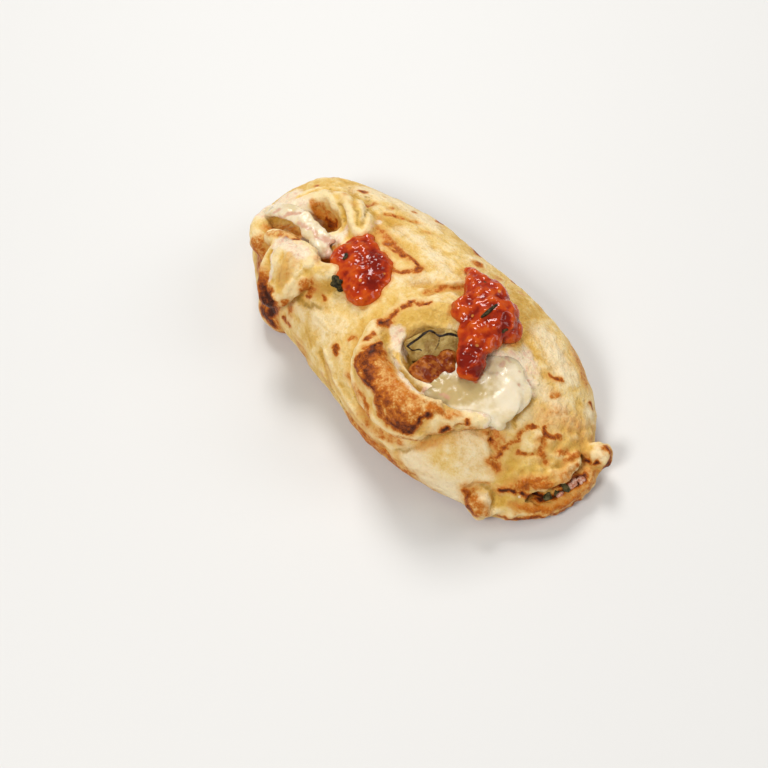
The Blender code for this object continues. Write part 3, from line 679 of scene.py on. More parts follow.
def smooth_path(points, steps):
    """Points along a Catmull-Rom curve through the given ones."""
    p = np.array(points, float)
    if len(p) == 1:
        return p
    p = np.vstack([2 * p[0] - p[1], p, 2 * p[-1] - p[-2]])
    found = []
    for t in np.linspace(0, len(points) - 1, steps):
        i = min(int(t), len(points) - 2)
        u = t - i
        a, b, c, d = p[i : i + 4]
        bow = 2 * a - 5 * b + 4 * c - d
        twist = 3 * b - a - 3 * c + d
        found.append(0.5 * (2 * b + (c - a) * u + bow * u**2 + twist * u**3))
    return np.array(found)


def add_roll(bm, path, radii, flat=1.0, beads_apart=0.3):
    """A roll of overlapping balls along a path, which fuse into one. flat squeezes them in height."""
    rough = smooth_path(path, 60)
    length = np.linalg.norm(np.diff(rough, axis=0), axis=1).sum()
    count = max(3, int(length / (beads_apart * float(np.mean(radii)))))
    sizes = smooth_path([(r, 0, 0) for r in radii], count)[:, 0]
    for place, size in zip(smooth_path(path, count), sizes):
        add_ball(bm, place, (size, size, size * flat), detail=3)


def to_object(bm, name):
    """An object from a bmesh in the forms' millimetres, placed in the frame. The bmesh is freed."""
    bm.transform(Matrix.Scale(MM, 4) @ Matrix.Translation(CENTRE_SHIFT))
    mesh = bpy.data.meshes.new(name)
    bm.to_mesh(mesh)
    bm.free()
    return link(name, mesh)


def applied(obj):
    """The object with its modifiers applied to its mesh."""
    graph = bpy.context.evaluated_depsgraph_get()
    graph.update()
    mesh = bpy.data.meshes.new_from_object(obj.evaluated_get(graph))
    obj.modifiers.clear()
    old = obj.data
    obj.data = mesh
    bpy.data.meshes.remove(old)
    mesh.name = obj.name
    return obj


def fuse(obj, voxel, smoothing):
    """Joins all that overlaps in the object into one skin and softens it. The voxel is in millimetres."""
    remesh = obj.modifiers.new("Fuse", "REMESH")
    remesh.mode = "VOXEL"
    remesh.voxel_size = voxel * MM
    soften = obj.modifiers.new("Soften", "SMOOTH")
    soften.factor = 0.5
    soften.iterations = smoothing
    return applied(obj)


def add_shapes(bm, shapes):
    """Adds rolls, which begin with a path, and balls, which begin with a centre."""
    for shape in shapes:
        add = add_roll if isinstance(shape[0], list) else add_ball
        add(bm, *shape)


def fused(name, shapes, voxel, smoothing, chunks=()):
    """A piece made of rolls, balls and chunks."""
    bm = bmesh.new()
    add_shapes(bm, shapes)
    for heap in chunks:
        add_chunks(bm, *heap)
    return fuse(to_object(bm, name), voxel, smoothing)


def cut(obj, cutters):
    """Cuts other pieces out of the object."""
    for cutter in cutters:
        boolean = obj.modifiers.new("Cut", "BOOLEAN")
        boolean.operation = "DIFFERENCE"
        boolean.solver = "MANIFOLD"
        boolean.object = cutter
        applied(obj)


def cut_away(obj, cutters):
    """Cuts pieces that serve only as cutters out of the object, and removes them."""
    cut(obj, cutters)
    for cutter in cutters:
        bpy.data.objects.remove(cutter)


def largest_piece(obj):
    """Drops the scraps that a cut leaves beside the largest connected piece."""
    bm = bmesh.new()
    bm.from_mesh(obj.data)
    left = set(bm.verts)
    pieces = []
    while left:
        found = [left.pop()]
        for vert in found:
            for edge in vert.link_edges:
                other = edge.other_vert(vert)
                if other in left:
                    left.remove(other)
                    found.append(other)
        pieces.append(found)
    pieces.sort(key=len)
    for scrap in pieces[:-1]:
        bmesh.ops.delete(bm, geom=scrap, context="VERTS")
    bm.to_mesh(obj.data)
    bm.free()
    return obj


def flat_base(obj):
    """Cuts the mesh level at the table and closes it there."""
    bm = bmesh.new()
    bm.from_mesh(obj.data)
    everything = bm.verts[:] + bm.edges[:] + bm.faces[:]
    bmesh.ops.bisect_plane(bm, geom=everything, plane_co=(0, 0, 0), plane_no=(0, 0, -1), clear_outer=True)
    rim = [edge for edge in bm.edges if edge.is_boundary]
    bmesh.ops.triangle_fill(bm, edges=rim, use_beauty=True, normal=(0, 0, -1))
    bmesh.ops.recalc_face_normals(bm, faces=bm.faces)
    bm.to_mesh(obj.data)
    bm.free()


def vertex_vectors(obj, name):
    found = np.empty(len(obj.data.vertices) * 3, np.float32)
    obj.data.vertices.foreach_get(name, found)
    return found.reshape(-1, 3).astype(float)


def places(obj):
    """The vertices' places in the forms' millimetres."""
    return vertex_vectors(obj, "co") / MM - np.array(CENTRE_SHIFT)


def normals(obj):
    return vertex_vectors(obj, "normal")


def reshape(obj, move):
    """Moves the vertices along their normals by a function of their places, both in millimetres."""
    points = places(obj)
    moved = points + normals(obj) * move(points)[:, None]
    in_frame = (moved + np.array(CENTRE_SHIFT)) * MM
    obj.data.vertices.foreach_set("co", in_frame.astype(np.float32).ravel())
    obj.data.update()
    return obj


def lumps(points, size, height, offset=0.0):
    """Smooth random heights, with features of this size."""
    shift = Vector((offset, offset, offset))
    return height * np.array([noise.noise(Vector(p) / size + shift) for p in points])


def uneven(layers):
    """A relief of several noises on one another."""
    return lambda points: sum(lumps(points, *layer) for layer in layers)


def wavered(points, share=1.0):
    """The points, pushed about a little, so that what is drawn by distance gets uneven edges."""
    push = 0
    for size, reach in WAVERS:
        push = push + reach * np.array([noise.noise_vector(Vector(p) / size) for p in points])
    return points + share * push


def bulge(obj):
    """How far each vertex stands out of the surface round it, in millimetres: below 0 in creases."""
    points = places(obj)
    ends = np.empty(len(obj.data.edges) * 2, np.int32)
    obj.data.edges.foreach_get("vertices", ends)
    a, b = ends.reshape(-1, 2).T
    count = len(points)
    edges_at = np.bincount(a, minlength=count) + np.bincount(b, minlength=count)
    soft = points.T
    for _ in range(BULGE_ROUNDS):
        sums = [np.bincount(a, c[b], count) + np.bincount(b, c[a], count) for c in soft]
        soft = np.array(sums) / edges_at
    return ((points - soft.T) * normals(obj)).sum(axis=1)


def in_box(points, low, high):
    """Which of the points lie between two corners."""
    return np.all((points > low) & (points < high), axis=1)


def depth_in_outline(pixels, outline):
    """How far inside a closed outline each pixel lies, in millimetres on the loaf. Outside it is negative."""
    a = np.array(outline, float)
    b = np.roll(a, -1, axis=0)
    along = b - a
    apart = pixels[:, None] - a[None]
    share = np.clip((apart * along).sum(axis=2) / (along**2).sum(axis=1), 0, 1)
    nearest = np.linalg.norm(apart - share[..., None] * along, axis=2).min(axis=1)
    crosses = (a[:, 1] > pixels[:, 1:2]) != (b[:, 1] > pixels[:, 1:2])
    with np.errstate(divide="ignore", invalid="ignore"):
        where = a[:, 0] + (pixels[:, 1:2] - a[:, 1]) / along[:, 1] * along[:, 0]
    inside = (crosses & (pixels[:, :1] < where)).sum(axis=1) % 2 == 1
    return np.where(inside, nearest, -nearest) / PIXELS_PER_MM


def inside_outline(camera, obj, points, facing, outline, edge):
    """1 inside an outline of the photograph and 0 outside, on what the camera sees. The edge is this wide."""
    pixels = pixels_of(camera, points)
    tree = tree_of(obj)
    toward = np.array(camera.location) / MM - np.array(CENTRE_SHIFT) - points
    near = in_box(pixels, np.min(outline, axis=0), np.max(outline, axis=0))
    near &= (facing * toward).sum(axis=1) > 0
    found = np.zeros(len(points))
    shown = [i for i in np.flatnonzero(near) if first_hit_is_near(camera, tree, points[i])]
    found[shown] = np.clip(0.5 + depth_in_outline(pixels[shown], outline) / edge, 0, 1)
    return found


def first_hit_is_near(camera, tree, point):
    """Whether the camera sees the surface within 4 mm of the point."""
    place = to_frame(point)
    hit = tree.ray_cast(camera.location, (place - camera.location).normalized())[0]
    return hit is not None and (hit - place).length < 4 * MM


def distance_to_path(points, path):
    """How far each point is from a smooth path, in millimetres. Far points are only given a large value."""
    line = smooth_path(path, 8 * len(path))
    close = in_box(points, line.min(axis=0) - FAR_FROM_PATH, line.max(axis=0) + FAR_FROM_PATH)
    found = np.full(len(points), FAR_FROM_PATH)
    if close.any():
        apart = points[close][:, None] - line[None]
        found[close] = np.linalg.norm(apart, axis=2).min(axis=1)
    return found


def tree_of(obj):
    """The object's surface, to cast rays at and to measure distances from."""
    mesh = obj.data
    return BVHTree.FromPolygons([v.co for v in mesh.vertices], [p.vertices[:] for p in mesh.polygons])


# ---- dough


def mouth_shapes():
    """Rolls that make up the slot of the gaping end, bent like a smile and opening into the filling."""
    shapes = []
    for depth in np.arange(0, MOUTH_DEPTH + 1, MOUTH_STEP):
        rise = MOUTH_RISE * depth
        path = [(x - depth, y * (1 - MOUTH_NARROWING * depth), z + rise) for x, y, z in MOUTH_LINE]
        shapes.append((path, MOUTH_RADII, 1.0, 0.5))
    return shapes


def add_ridges(move, points, strokes):
    """Adds creases and swellings, each given by its width, height and path, to the heights in move."""
    for width, height, path in strokes:
        move += height * np.exp(-((distance_to_path(points, path) / width) ** 2))
    return move


def make_dough(camera):
    """The crust: the loaf's form with its lips, folds, ears, openings, relief and cavity."""
    bm = loaf_bmesh(0.0, 0.0, 0.0, -UNDER_REACH)
    add_shapes(bm, DOUGH_SHAPES)
    dough = fuse(to_object(bm, "dough_crust"), DOUGH_VOXEL, 12)
    reshape(dough, lambda points: add_ridges(uneven(BAKED_SWELL)(points), points, SKIN_RELIEF))
    openings = [("front_pit", FRONT_PIT, 24), ("rear_pit", REAR_PIT, 4), ("mouth", mouth_shapes(), 1)]
    cut_away(dough, [fused(name, shapes, DOUGH_VOXEL, smoothing) for name, shapes, smoothing in openings])
    fuse(dough, DOUGH_VOXEL, 4)

    strokes = cast_strokes(camera, tree_of(dough), SEEN_RELIEF)
    points, facing = wavered(places(dough), 0.5), normals(dough)
    folds = []
    for height, outline in SEEN_FOLDS:
        folds.append(height * inside_outline(camera, dough, points, facing, outline, FOLD_EDGE))

    def seen_relief(points):
        """Grain, streaks along the loaf, blisters at the gaping end and what the photograph shows."""
        move = uneven(CRUST_GRAIN)(points) + sum(folds)
        move += lumps(points / np.array([3.0, 1.0, 1.0]), 2.6, 0.30, offset=13.0)
        move += lumps(points, 3.4, 1.2, offset=21.0) * np.clip((points[:, 0] - 76) / 10, 0, 1)
        return add_ridges(move, points, strokes)

    reshape(dough, seen_relief)
    flat_base(dough)
    cut_away(dough, [to_object(loaf_bmesh(WALL_END, WALL_SIDE, WALL_TOP, WALL_BASE), "cavity")])
    return largest_piece(dough)


def painted(points, strokes, halo=0.0):
    """The strongest of the strokes at each point, fading at their edges. halo is its level just outside."""
    value = np.zeros(len(points))
    for level, width, path in strokes:
        apart = distance_to_path(points, path)
        edge = np.clip((1.45 - apart / width) / 1.1, 0, 1)
        glow = halo * level * np.clip(1 - (apart - width) / HALO_REACH, 0, 1)
        value = np.maximum.reduce([value, level * edge, glow])
    return value


def store(obj, name, values):
    """Keeps a number for each vertex, for the material to read."""
    attribute = obj.data.attributes.new(name, "FLOAT", "POINT")
    attribute.data.foreach_set("value", values.astype(np.float32))


def paint(piece, name, camera, strokes, waver=1.0):
    """Stores strokes that are placed by pixels."""
    cast = cast_strokes(camera, tree_of(piece), strokes)
    store(piece, name, painted(wavered(places(piece), waver), cast))


def nearness(points, obj, reach):
    """1 where a point touches the object, falling to 0 at this many millimetres from it."""
    tree = tree_of(obj)
    box = places(obj)
    found = np.zeros(len(points))
    for i in np.flatnonzero(in_box(points, box.min(axis=0) - reach, box.max(axis=0) + reach)):
        apart = tree.find_nearest(to_frame(points[i]))[3] / MM
        found[i] = max(0.0, 1 - apart / reach)
    return found


def paint_dough(dough, camera, sauces, films):
    """Stores where the crust is brown, oily, milky, floury and yellow, with painted shade in its creases,
    slot, hole and crevices, and painted light in a few places.
    """
    points = places(dough)
    facing = normals(dough)
    tree = tree_of(dough)
    edges = wavered(points)

    def layer(strokes, halo=0.0):
        return painted(edges, cast_strokes(camera, tree, strokes), halo)

    height = points[:, 2]
    foot = FOOT_TOAST * np.clip((FOOT_TOP - height) / FOOT_FADE, 0, 1)
    foot += UNDERSIDE_TOAST * (facing[:, 2] < -0.5)
    patchy = lumps(points, 16, 1.0, offset=3.0)
    side_toast = np.clip(0.22 + 0.5 * patchy, 0, 0.4) * np.clip(0.8 - facing[:, 2], 0, 1)
    hidden = np.clip((points[:, 1] - 0.44 * points[:, 0] - 22) / 14, 0, 1)
    blisters = hidden * np.clip(lumps(points, 7, 1.0, offset=11.0) - 0.16, 0, 1) * 1.6
    toast_and_shade = np.maximum.reduce([layer(TOAST_AND_SHADE, HALO), foot, side_toast, blisters])
    for level, outline in TOAST_PATCHES:
        toast_and_shade = np.maximum(toast_and_shade, level * inside_outline(camera, dough, edges, facing, outline, PATCH_EDGE))
    store(dough, "toast_and_shade", toast_and_shade)
    # How far the crust bulges; its look paints light on the bulges and shade in the hollows from this.
    store(dough, "bulge", bulge(dough))
    stain = np.maximum.reduce([nearness(edges, sauce, SAUCE_STAIN_REACH) for sauce in sauces])
    store(dough, "oil", np.maximum(layer(OIL), stain))
    film = np.maximum.reduce([nearness(edges, cheese, reach) for cheese, reach in films])
    store(dough, "milk_and_light", np.maximum(layer(MILK_AND_LIGHT), film * 1.1))
    store(dough, "flour_and_light", layer(FLOUR_AND_LIGHT))
    store(dough, "yellow", layer(YELLOW))
    # Painted shade along the deeper creases.
    creases = [(1.0, 0.75 * width, pixels) for width, height, pixels in SEEN_RELIEF if height < -CREASE_DEPTH]
    store(dough, "crease_shade", layer(creases))


# ---- filling and toppings


def make_filling():
    """The filling that runs through the loaf. It sinks under the front opening and ends behind the mouth."""
    insets = [wall + FILLING_OVERLAP for wall in (WALL_END, WALL_SIDE, WALL_TOP, WALL_BASE)]
    filling = to_object(loaf_bmesh(*insets), "filling_mix")
    subdivide = filling.modifiers.new("Finer", "SUBSURF")
    subdivide.subdivision_type = "SIMPLE"
    subdivide.levels = subdivide.render_levels = 1
    applied(filling)

    def move(points):
        x, y, z = points.T
        along, across = (x - SINK_MIDDLE[0]) / SINK_REACH[0], (y - SINK_MIDDLE[1]) / SINK_REACH[1]
        sink = np.exp(-(along**2) - across**2) * (z > SINK_ABOVE)
        lumpy = np.abs(lumps(points, 6, 1.8)) + np.abs(lumps(points, 2.6, 0.7, offset=5.0))
        return -SINK_DEPTH * sink - lumpy * (z > LUMPS_ABOVE)

    return reshape(filling, move)


def make_topping(name, shapes, smoothing, relief, neighbours, chunks=()):
    """Fuses a topping's shapes, gives it relief and cuts it to what it lies on."""
    piece = fused(name, shapes, TOPPING_VOXEL, smoothing, chunks)
    reshape(piece, relief)
    cut(piece, neighbours)
    return largest_piece(piece)


def pool_relief(points):
    """The cheese pool's lumps, with what rises above its sloping level pressed down."""
    x, y, z = points.T
    level = POOL_LEVEL + POOL_SLOPE * (y - POOL_MIDDLE) - POOL_FALL * np.maximum(x - POOL_FALL_FROM, 0)
    return uneven(CHEESE_POOL_LUMPS)(points) - POOL_FLATTENING * np.maximum(z - level, 0)


def add_chunks(bm, count, centre, spread, seed):
    """Pieces of chopped tomato, part sunk in a heap of sauce. spread is how far they lie from its centre."""
    draw = random.Random(seed)
    for _ in range(count):
        turn = draw.uniform(0, 2 * math.pi)
        out = math.sqrt(draw.random())
        across = Vector((math.cos(turn) * out * spread[0], math.sin(turn) * out * spread[1], 0))
        rise = spread[2] * math.sqrt(max(0.0, 1 - out * out)) - 1.0
        radii = (draw.uniform(2.6, 4.8), draw.uniform(2.0, 3.4), draw.uniform(1.5, 2.2))
        place = Vector(centre) + across + Vector((0, 0, rise))
        add_ball(bm, place, radii, turn=draw.uniform(0, 180), roll=draw.uniform(-30, 30), detail=3)


def aubergine_shapes():
    """Rolls that lie on one another, from the slice's curled top edge down to its foot."""
    top, foot = (smooth_path(path, 5) for path in (AUBERGINE_TOP, AUBERGINE_FOOT))
    return [(list(top + (foot - top) * share), [1.5 + 0.5 * share] * 5) for share in np.linspace(0, 1, 8)]


def upright(normal):
    """The turn that stands a piece on a surface."""
    return normal.to_track_quat("Z", "X").to_matrix()


def make_bits(name, camera, carriers, bits):
    """Small flat pieces, each half sunk in whichever carrier the photograph shows at its pixel."""
    trees = [tree_of(carrier) for carrier in carriers]
    bm = bmesh.new()
    for pixel, length, width, thickness, turn in bits:
        hits = [hit for hit in (seen(camera, tree, pixel) for tree in trees) if hit[0]]
        place, normal = min(hits, key=lambda hit: (hit[0] - camera.location).length)
        spin = upright(normal).to_4x4() @ Matrix.Rotation(math.radians(turn), 4, "Z")
        size = Matrix.Diagonal((length / 2, width / 2, thickness / 2, 1))
        where = Matrix.Translation(from_frame(place)) @ spin @ size
        bmesh.ops.create_icosphere(bm, subdivisions=3, radius=1, matrix=where)
    return reshape(to_object(bm, name), uneven(BIT_LUMPS))


def make_herb_leaf(camera, sauce):
    """A dark cooked leaf that lies on the near edge of the rear sauce."""
    place, normal = seen(camera, tree_of(sauce), HERB_LEAF_AT)
    shapes = []
    for across, along, size in LEAF_PARTS:
        centre = from_frame(place) + upright(normal) @ Vector((across, along, 0.3))
        shapes.append((centre, (size, size * 0.8, 1.2), 30, 0, 0, 3))
    return reshape(fused("herb_leaf", shapes, LEAF_VOXEL, 3), uneven(LEAF_LUMPS))


def make_herb_stem(camera, sauce):
    """A thin herb stem on the front sauce."""
    tree = tree_of(sauce)
    hits = [seen(camera, tree, pixel) for pixel in HERB_STEM_AT]
    path = [from_frame(place) + normal * 0.2 for place, normal in hits]
    return fused("herb_stem", [(path, STEM_RADII)], STEM_VOXEL, 2)


# ---- materials, with linear colours

# The dough's colours, from painted shade in hollows to painted light on bulges, with random tone mixed in.
DOUGH_TONE_AND_SHADE_STOPS = [
    (0.14, (0.58, 0.31, 0.050)),
    (0.34, (0.67, 0.40, 0.092)),
    (0.52, (0.75, 0.505, 0.170)),
    (0.80, (0.84, 0.65, 0.34)),
]
# Browns of toast; the darkest also serve as painted shade in the slot, the hole and crevices.
TOAST_AND_SHADE_STOPS = [
    (0.14, (0.72, 0.42, 0.13)),
    (0.32, (0.63, 0.29, 0.062)),
    (0.48, (0.48, 0.13, 0.010)),
    (0.64, (0.31, 0.068, 0.007)),
    (0.80, (0.16, 0.032, 0.006)),
    (0.96, (0.055, 0.013, 0.005)),
]
MUSTARD = (0.60, 0.33, 0.045)
CRUMB_YELLOW = (0.74, 0.47, 0.10)
# The colour of painted shade in creases.
CREASE_SHADE_OCHRE = (0.36, 0.20, 0.03)
# The white of flour, also used for painted light.
FLOUR_AND_LIGHT_WHITE = (0.85, 0.70, 0.45)
# The white of cheese film, also used for painted light and a painted highlight.
FILM_AND_LIGHT_WHITE = (0.84, 0.70, 0.50)
FILM_PINK = (0.74, 0.40, 0.29)
OIL_ORANGE = (0.58, 0.17, 0.012)
# The sauce's darkest red, for its painted shade.
SHADED_DEEP_RED = (0.19, 0.008, 0.001)
TOMATO_RED = (0.39, 0.028, 0.002)
# Orange red of thin sauce, also of the painted light on its lumps.
ORANGE_RED = (0.54, 0.075, 0.004)
SEED = (0.74, 0.32, 0.06)
CHEESE_CREAM = (0.66, 0.53, 0.31)
CHEESE_WHITE = (0.76, 0.65, 0.46)
CHEESE_CLEAR = (0.48, 0.35, 0.15)
CHEESE_PINK = (0.56, 0.28, 0.19)
SAUCE_STAIN = (0.42, 0.075, 0.030)
AUBERGINE_FLESH = (0.48, 0.335, 0.10)
AUBERGINE_BROWN = (0.28, 0.155, 0.03)
AUBERGINE_SKIN = (0.02, 0.010, 0.004)
FLOOR_WHITE = (0.70, 0.683, 0.652, 1.0)
SKY_WHITE = (0.95, 0.97, 1.0, 1.0)

# The dark and the light colour of the plain looks.
FILLING_BROWNS = ((0.30, 0.09, 0.02), (0.58, 0.32, 0.10))
SAUSAGE_BROWNS = ((0.17, 0.022, 0.003), (0.40, 0.12, 0.018))
HERB_GREENS = ((0.014, 0.011, 0.004), (0.07, 0.052, 0.016))
COOKED_GREENS = ((0.035, 0.030, 0.010), (0.13, 0.11, 0.045))
HAM_PINKS = ((0.50, 0.17, 0.09), (0.74, 0.48, 0.36))

# How far red, green and blue light spread in a piece, in metres.
DOUGH_SCATTER = (0.003, 0.0015, 0.0007)
CHEESE_SCATTER = (0.004, 0.003, 0.0015)
AUBERGINE_SCATTER = (0.003, 0.002, 0.001)


class Value:
    """A shader socket whose operators add Math nodes."""

    def __init__(self, look, socket):
        self.look = look
        self.socket = socket

    def __add__(self, other):
        return self.look.maths("ADD", self, other)

    def __sub__(self, other):
        return self.look.maths("SUBTRACT", self, other)

    def __rsub__(self, other):
        return self.look.maths("SUBTRACT", other, self)

    def __mul__(self, other):
        return self.look.maths("MULTIPLY", self, other)

    __radd__ = __add__
    __rmul__ = __mul__


class Look:
    """A material with a Principled shader, built by its methods."""

    def __init__(self, name, **constants):
        self.material = bpy.data.materials.new(name)
        self.material.use_nodes = True
        self.tree = self.material.node_tree
        self.shader = self.tree.nodes["Principled BSDF"]
        for socket, value in constants.items():
            self.shader.inputs[socket.replace("_", " ")].default_value = value
        self.place = self.node("TexCoord", output="Object")

    def node(self, kind, inputs=None, output=0, **settings):
        """Adds a node, sets it, feeds its sockets with values or links, and gives one of its outputs."""
        made = self.tree.nodes.new("ShaderNode" + kind)
        for key, value in settings.items():
            setattr(made, key, value)
        for key, value in (inputs or {}).items():
            self.feed(made.inputs[key], value)
        return Value(self, made.outputs[output])

    def feed(self, socket, value):
        if isinstance(value, Value):
            self.tree.links.new(value.socket, socket)
        else:
            socket.default_value = value

    def maths(self, operation, a, b):
        return self.node("Math", {0: a, 1: b}, operation=operation)

    def noise(self, size, detail=3.0, roughness=0.55, offset=0.0):
        """Noise from 0 to 1 with features of this many millimetres."""
        moved = self.node("VectorMath", {0: self.place, 1: (offset, offset, offset)}, operation="ADD")
        inputs = {"Vector": moved, "Scale": 1 / (size * MM), "Detail": detail, "Roughness": roughness}
        return self.node("TexNoise", inputs, output="Fac")

    def cells(self, size):
        """The distance to the nearest of points that are about this many millimetres apart."""
        return self.node("TexVoronoi", {"Vector": self.place, "Scale": 1 / (size * MM)}, output="Distance")

    def step(self, value, low, high):
        """0 below low, 1 above high and smooth between."""
        inputs = {"Value": value, "From Min": low, "From Max": high}
        return self.node("MapRange", inputs, interpolation_type="SMOOTHSTEP")

    def mix(self, factor, a, b):
        """A colour between two, which are colours or links."""
        a, b = ((*colour, 1.0) if isinstance(colour, tuple) else colour for colour in (a, b))
        return self.node("Mix", {0: factor, 6: a, 7: b}, output=2, data_type="RGBA")

    def attribute(self, name):
        return self.node("Attribute", output="Fac", attribute_name=name)

    def ramp(self, value, stops):
        """A colour from stops, each a position and a colour."""
        found = self.node("ValToRGB", {"Fac": value}, output="Color")
        ramp = found.socket.node.color_ramp
        while len(ramp.elements) < len(stops):
            ramp.elements.new(0.5)
        for element, (position, colour) in zip(ramp.elements, stops):
            element.position = position
            element.color = (*colour, 1.0)
        return found

    def finish(self, colour, roughness, height, depth):
        """Connects what varies. depth is the bump's in millimetres."""
        bump = self.node("Bump", {"Height": height, "Distance": depth * MM}, output="Normal")
        self.feed(self.shader.inputs["Base Color"], colour)
        self.feed(self.shader.inputs["Roughness"], roughness)
        self.feed(self.shader.inputs["Normal"], bump)
        return self.material


def dough_look():
    look = Look(
        "baked_dough",
        Specular_IOR_Level=0.12,
        Subsurface_Weight=0.08,
        Subsurface_Scale=1.0,
        Subsurface_Radius=DOUGH_SCATTER,
    )
    middle = look.noise(7, offset=3.0)
    fine = look.noise(2.4, offset=5.0)
    grain = look.noise(0.8, detail=4.0, offset=8.0)
    broad_wave = look.noise(22) - 0.5
    middle_wave, fine_wave, grain_wave = (wave - 0.5 for wave in (middle, fine, grain))
    # Painted light on bulges and painted shade in hollows, from the bulge attribute, with random tone on top.
    form = look.attribute("bulge") * 0.45 + broad_wave * 0.9 + middle_wave * 0.9 + fine_wave * 0.5
    colour = look.ramp(form + grain_wave * 0.45 + 0.46, DOUGH_TONE_AND_SHADE_STOPS)
    crumb = look.mix(look.step(fine * 0.7 + middle * 0.3, 0.38, 0.66), MUSTARD, CRUMB_YELLOW)
    yellow = look.step(look.attribute("yellow") + fine_wave * 0.8, 0.25, 0.85)
    colour = look.mix(yellow * 0.85, colour, crumb)

    # Flour, with painted light on the right edge and on a shaded wall of the front opening.
    flour_and_light = look.step(look.attribute("flour_and_light") * 0.7 + grain * 0.3 + fine * 0.3 + middle * 0.4, 0.58, 1.2)
    colour = look.mix(flour_and_light * 0.9, colour, FLOUR_AND_LIGHT_WHITE)
    # Painted shade in the deeper creases.
    crease_shade = look.step(look.attribute("crease_shade") + fine_wave * 0.6, 0.35, 1.1)
    colour = look.mix(crease_shade * 0.8, colour, CREASE_SHADE_OCHRE)

    ragged = fine_wave * 0.8 + middle_wave * 0.5 + grain_wave * 0.5 + (0.45 - look.cells(2.8)) * 0.15
    # Toast, with painted shade in the mouth's slot, the rear hole and crevices.
    browned = look.attribute("toast_and_shade")
    toast_and_shade = browned + ragged * look.step(browned, 0.05, 0.60)
    toast_and_shade_mix = look.step(toast_and_shade, 0.04, 0.44)
    colour = look.mix(toast_and_shade_mix, colour, look.ramp(toast_and_shade, TOAST_AND_SHADE_STOPS))

    oil = look.step(look.attribute("oil") + fine_wave * 0.6, 0.25, 0.95)
    colour = look.mix(oil * 0.6, colour, OIL_ORANGE)
    # Cheese film, with painted light on a shaded wall and a painted highlight on the lower lip.
    milk_and_light = look.step(look.attribute("milk_and_light") + middle_wave * 0.8 + fine_wave * 0.5, 0.25, 0.75)
    film = look.mix(look.step(fine, 0.46, 0.78), FILM_AND_LIGHT_WHITE, FILM_PINK)
    colour = look.mix(milk_and_light * 0.85, colour, film)

    roughness = 0.60 - oil * 0.3 - milk_and_light * 0.3 - toast_and_shade_mix * 0.2
    return look.finish(colour, roughness, middle * 0.4 + fine * 0.5 + grain * 0.1, 2.2)


def sauce_look():
    look = Look("tomato_sauce", Specular_IOR_Level=0.3)
    broad_wave = look.noise(7) - 0.5
    fine_wave = look.noise(2.4, offset=4.0) - 0.5
    grain = look.noise(0.9, detail=4.0, offset=2.0)
    # Painted light on the lumps and painted shade in the hollows, from the bulge attribute, darker still
    # where the sauce is painted darker red.
    lit = look.attribute("bulge") * 0.6 + 0.5 + fine_wave * 0.9 - look.attribute("deep") * 0.6
    colour = look.mix(look.step(lit, 0.15, 0.60), SHADED_DEEP_RED, TOMATO_RED)
    colour = look.mix(look.step(lit + broad_wave * 0.8, 0.50, 0.95), colour, ORANGE_RED)
    thin = look.step(look.attribute("thin") + fine_wave * 0.4, 0.3, 0.9)
    colour = look.mix(thin * 0.7, colour, ORANGE_RED)
    seeds = 1 - look.step(look.cells(8.0), 0.06, 0.11)
    colour = look.mix(seeds * 0.6, colour, SEED)
    ripple = look.noise(2.2, detail=0.0, offset=7.0)
    return look.finish(colour, 0.08 + grain * 0.06, ripple, 0.5)


def cheese_look():
    look = Look(
        "melted_cheese",
        Specular_IOR_Level=0.2,
        Subsurface_Weight=0.25,
        Subsurface_Scale=1.0,
        Subsurface_Radius=CHEESE_SCATTER,
    )
    fine = look.noise(3, offset=4.0)
    fine_wave = fine - 0.5
    colour = look.mix(look.step(look.noise(9) + fine_wave * 0.4, 0.36, 0.62), CHEESE_WHITE, CHEESE_CREAM)
    clear = look.step(look.attribute("clear") + fine_wave * 0.5, 0.25, 0.85)
    colour = look.mix(clear, colour, CHEESE_CLEAR)
    pink = look.step(look.attribute("pink") + fine_wave * 0.9, 0.25, 0.95)
    colour = look.mix(pink * 0.8, colour, CHEESE_PINK)
    stain = look.step(look.attribute("stain") + fine_wave * 0.8, 0.2, 0.9)
    colour = look.mix(stain * 0.8, colour, SAUCE_STAIN)
    ripple = look.noise(4.6, detail=0.0, offset=7.0)
    return look.finish(colour, 0.12 + fine * 0.10, ripple, 0.9)


def plain_look(name, colours, size=2.0, roughness=0.3, depth=0.8):
    """A dark and a light colour in uneven patches of this many millimetres."""
    look = Look(name, Specular_IOR_Level=0.14)
    patches = look.noise(size)
    grain = look.noise(size / 3, offset=4.0)
    colour = look.mix(look.step(patches + (grain - 0.5) * 0.4, 0.38, 0.62), *colours)
    return look.finish(colour, roughness + (grain - 0.5) * 0.2, patches * 0.5 + grain * 0.5, depth)


def aubergine_look():
    look = Look(
        "wilted_aubergine",
        Specular_IOR_Level=0.2,
        Subsurface_Weight=0.1,
        Subsurface_Scale=1.0,
        Subsurface_Radius=AUBERGINE_SCATTER,
    )
    fine = look.noise(1.6, offset=4.0)
    colour = look.mix(look.step(look.noise(5), 0.4, 0.62), AUBERGINE_FLESH, AUBERGINE_BROWN)
    skin = look.step(look.attribute("skin") + (fine - 0.5) * 0.4, 0.35, 0.75)
    colour = look.mix(skin, colour, AUBERGINE_SKIN)
    return look.finish(colour, 0.2 + fine * 0.25, fine, 0.9)


# ---- stage

SKY_STRENGTH = 0.30

# The soft lamps: name, place and size in millimetres, and power in watts.
LAMPS = [
    ("window", (-800, 400, 1100), 450, 11.7),
    ("fill", (350, -1000, 1200), 450, 14.3),
    ("front", (700, 900, 900), 700, 5.0),
]


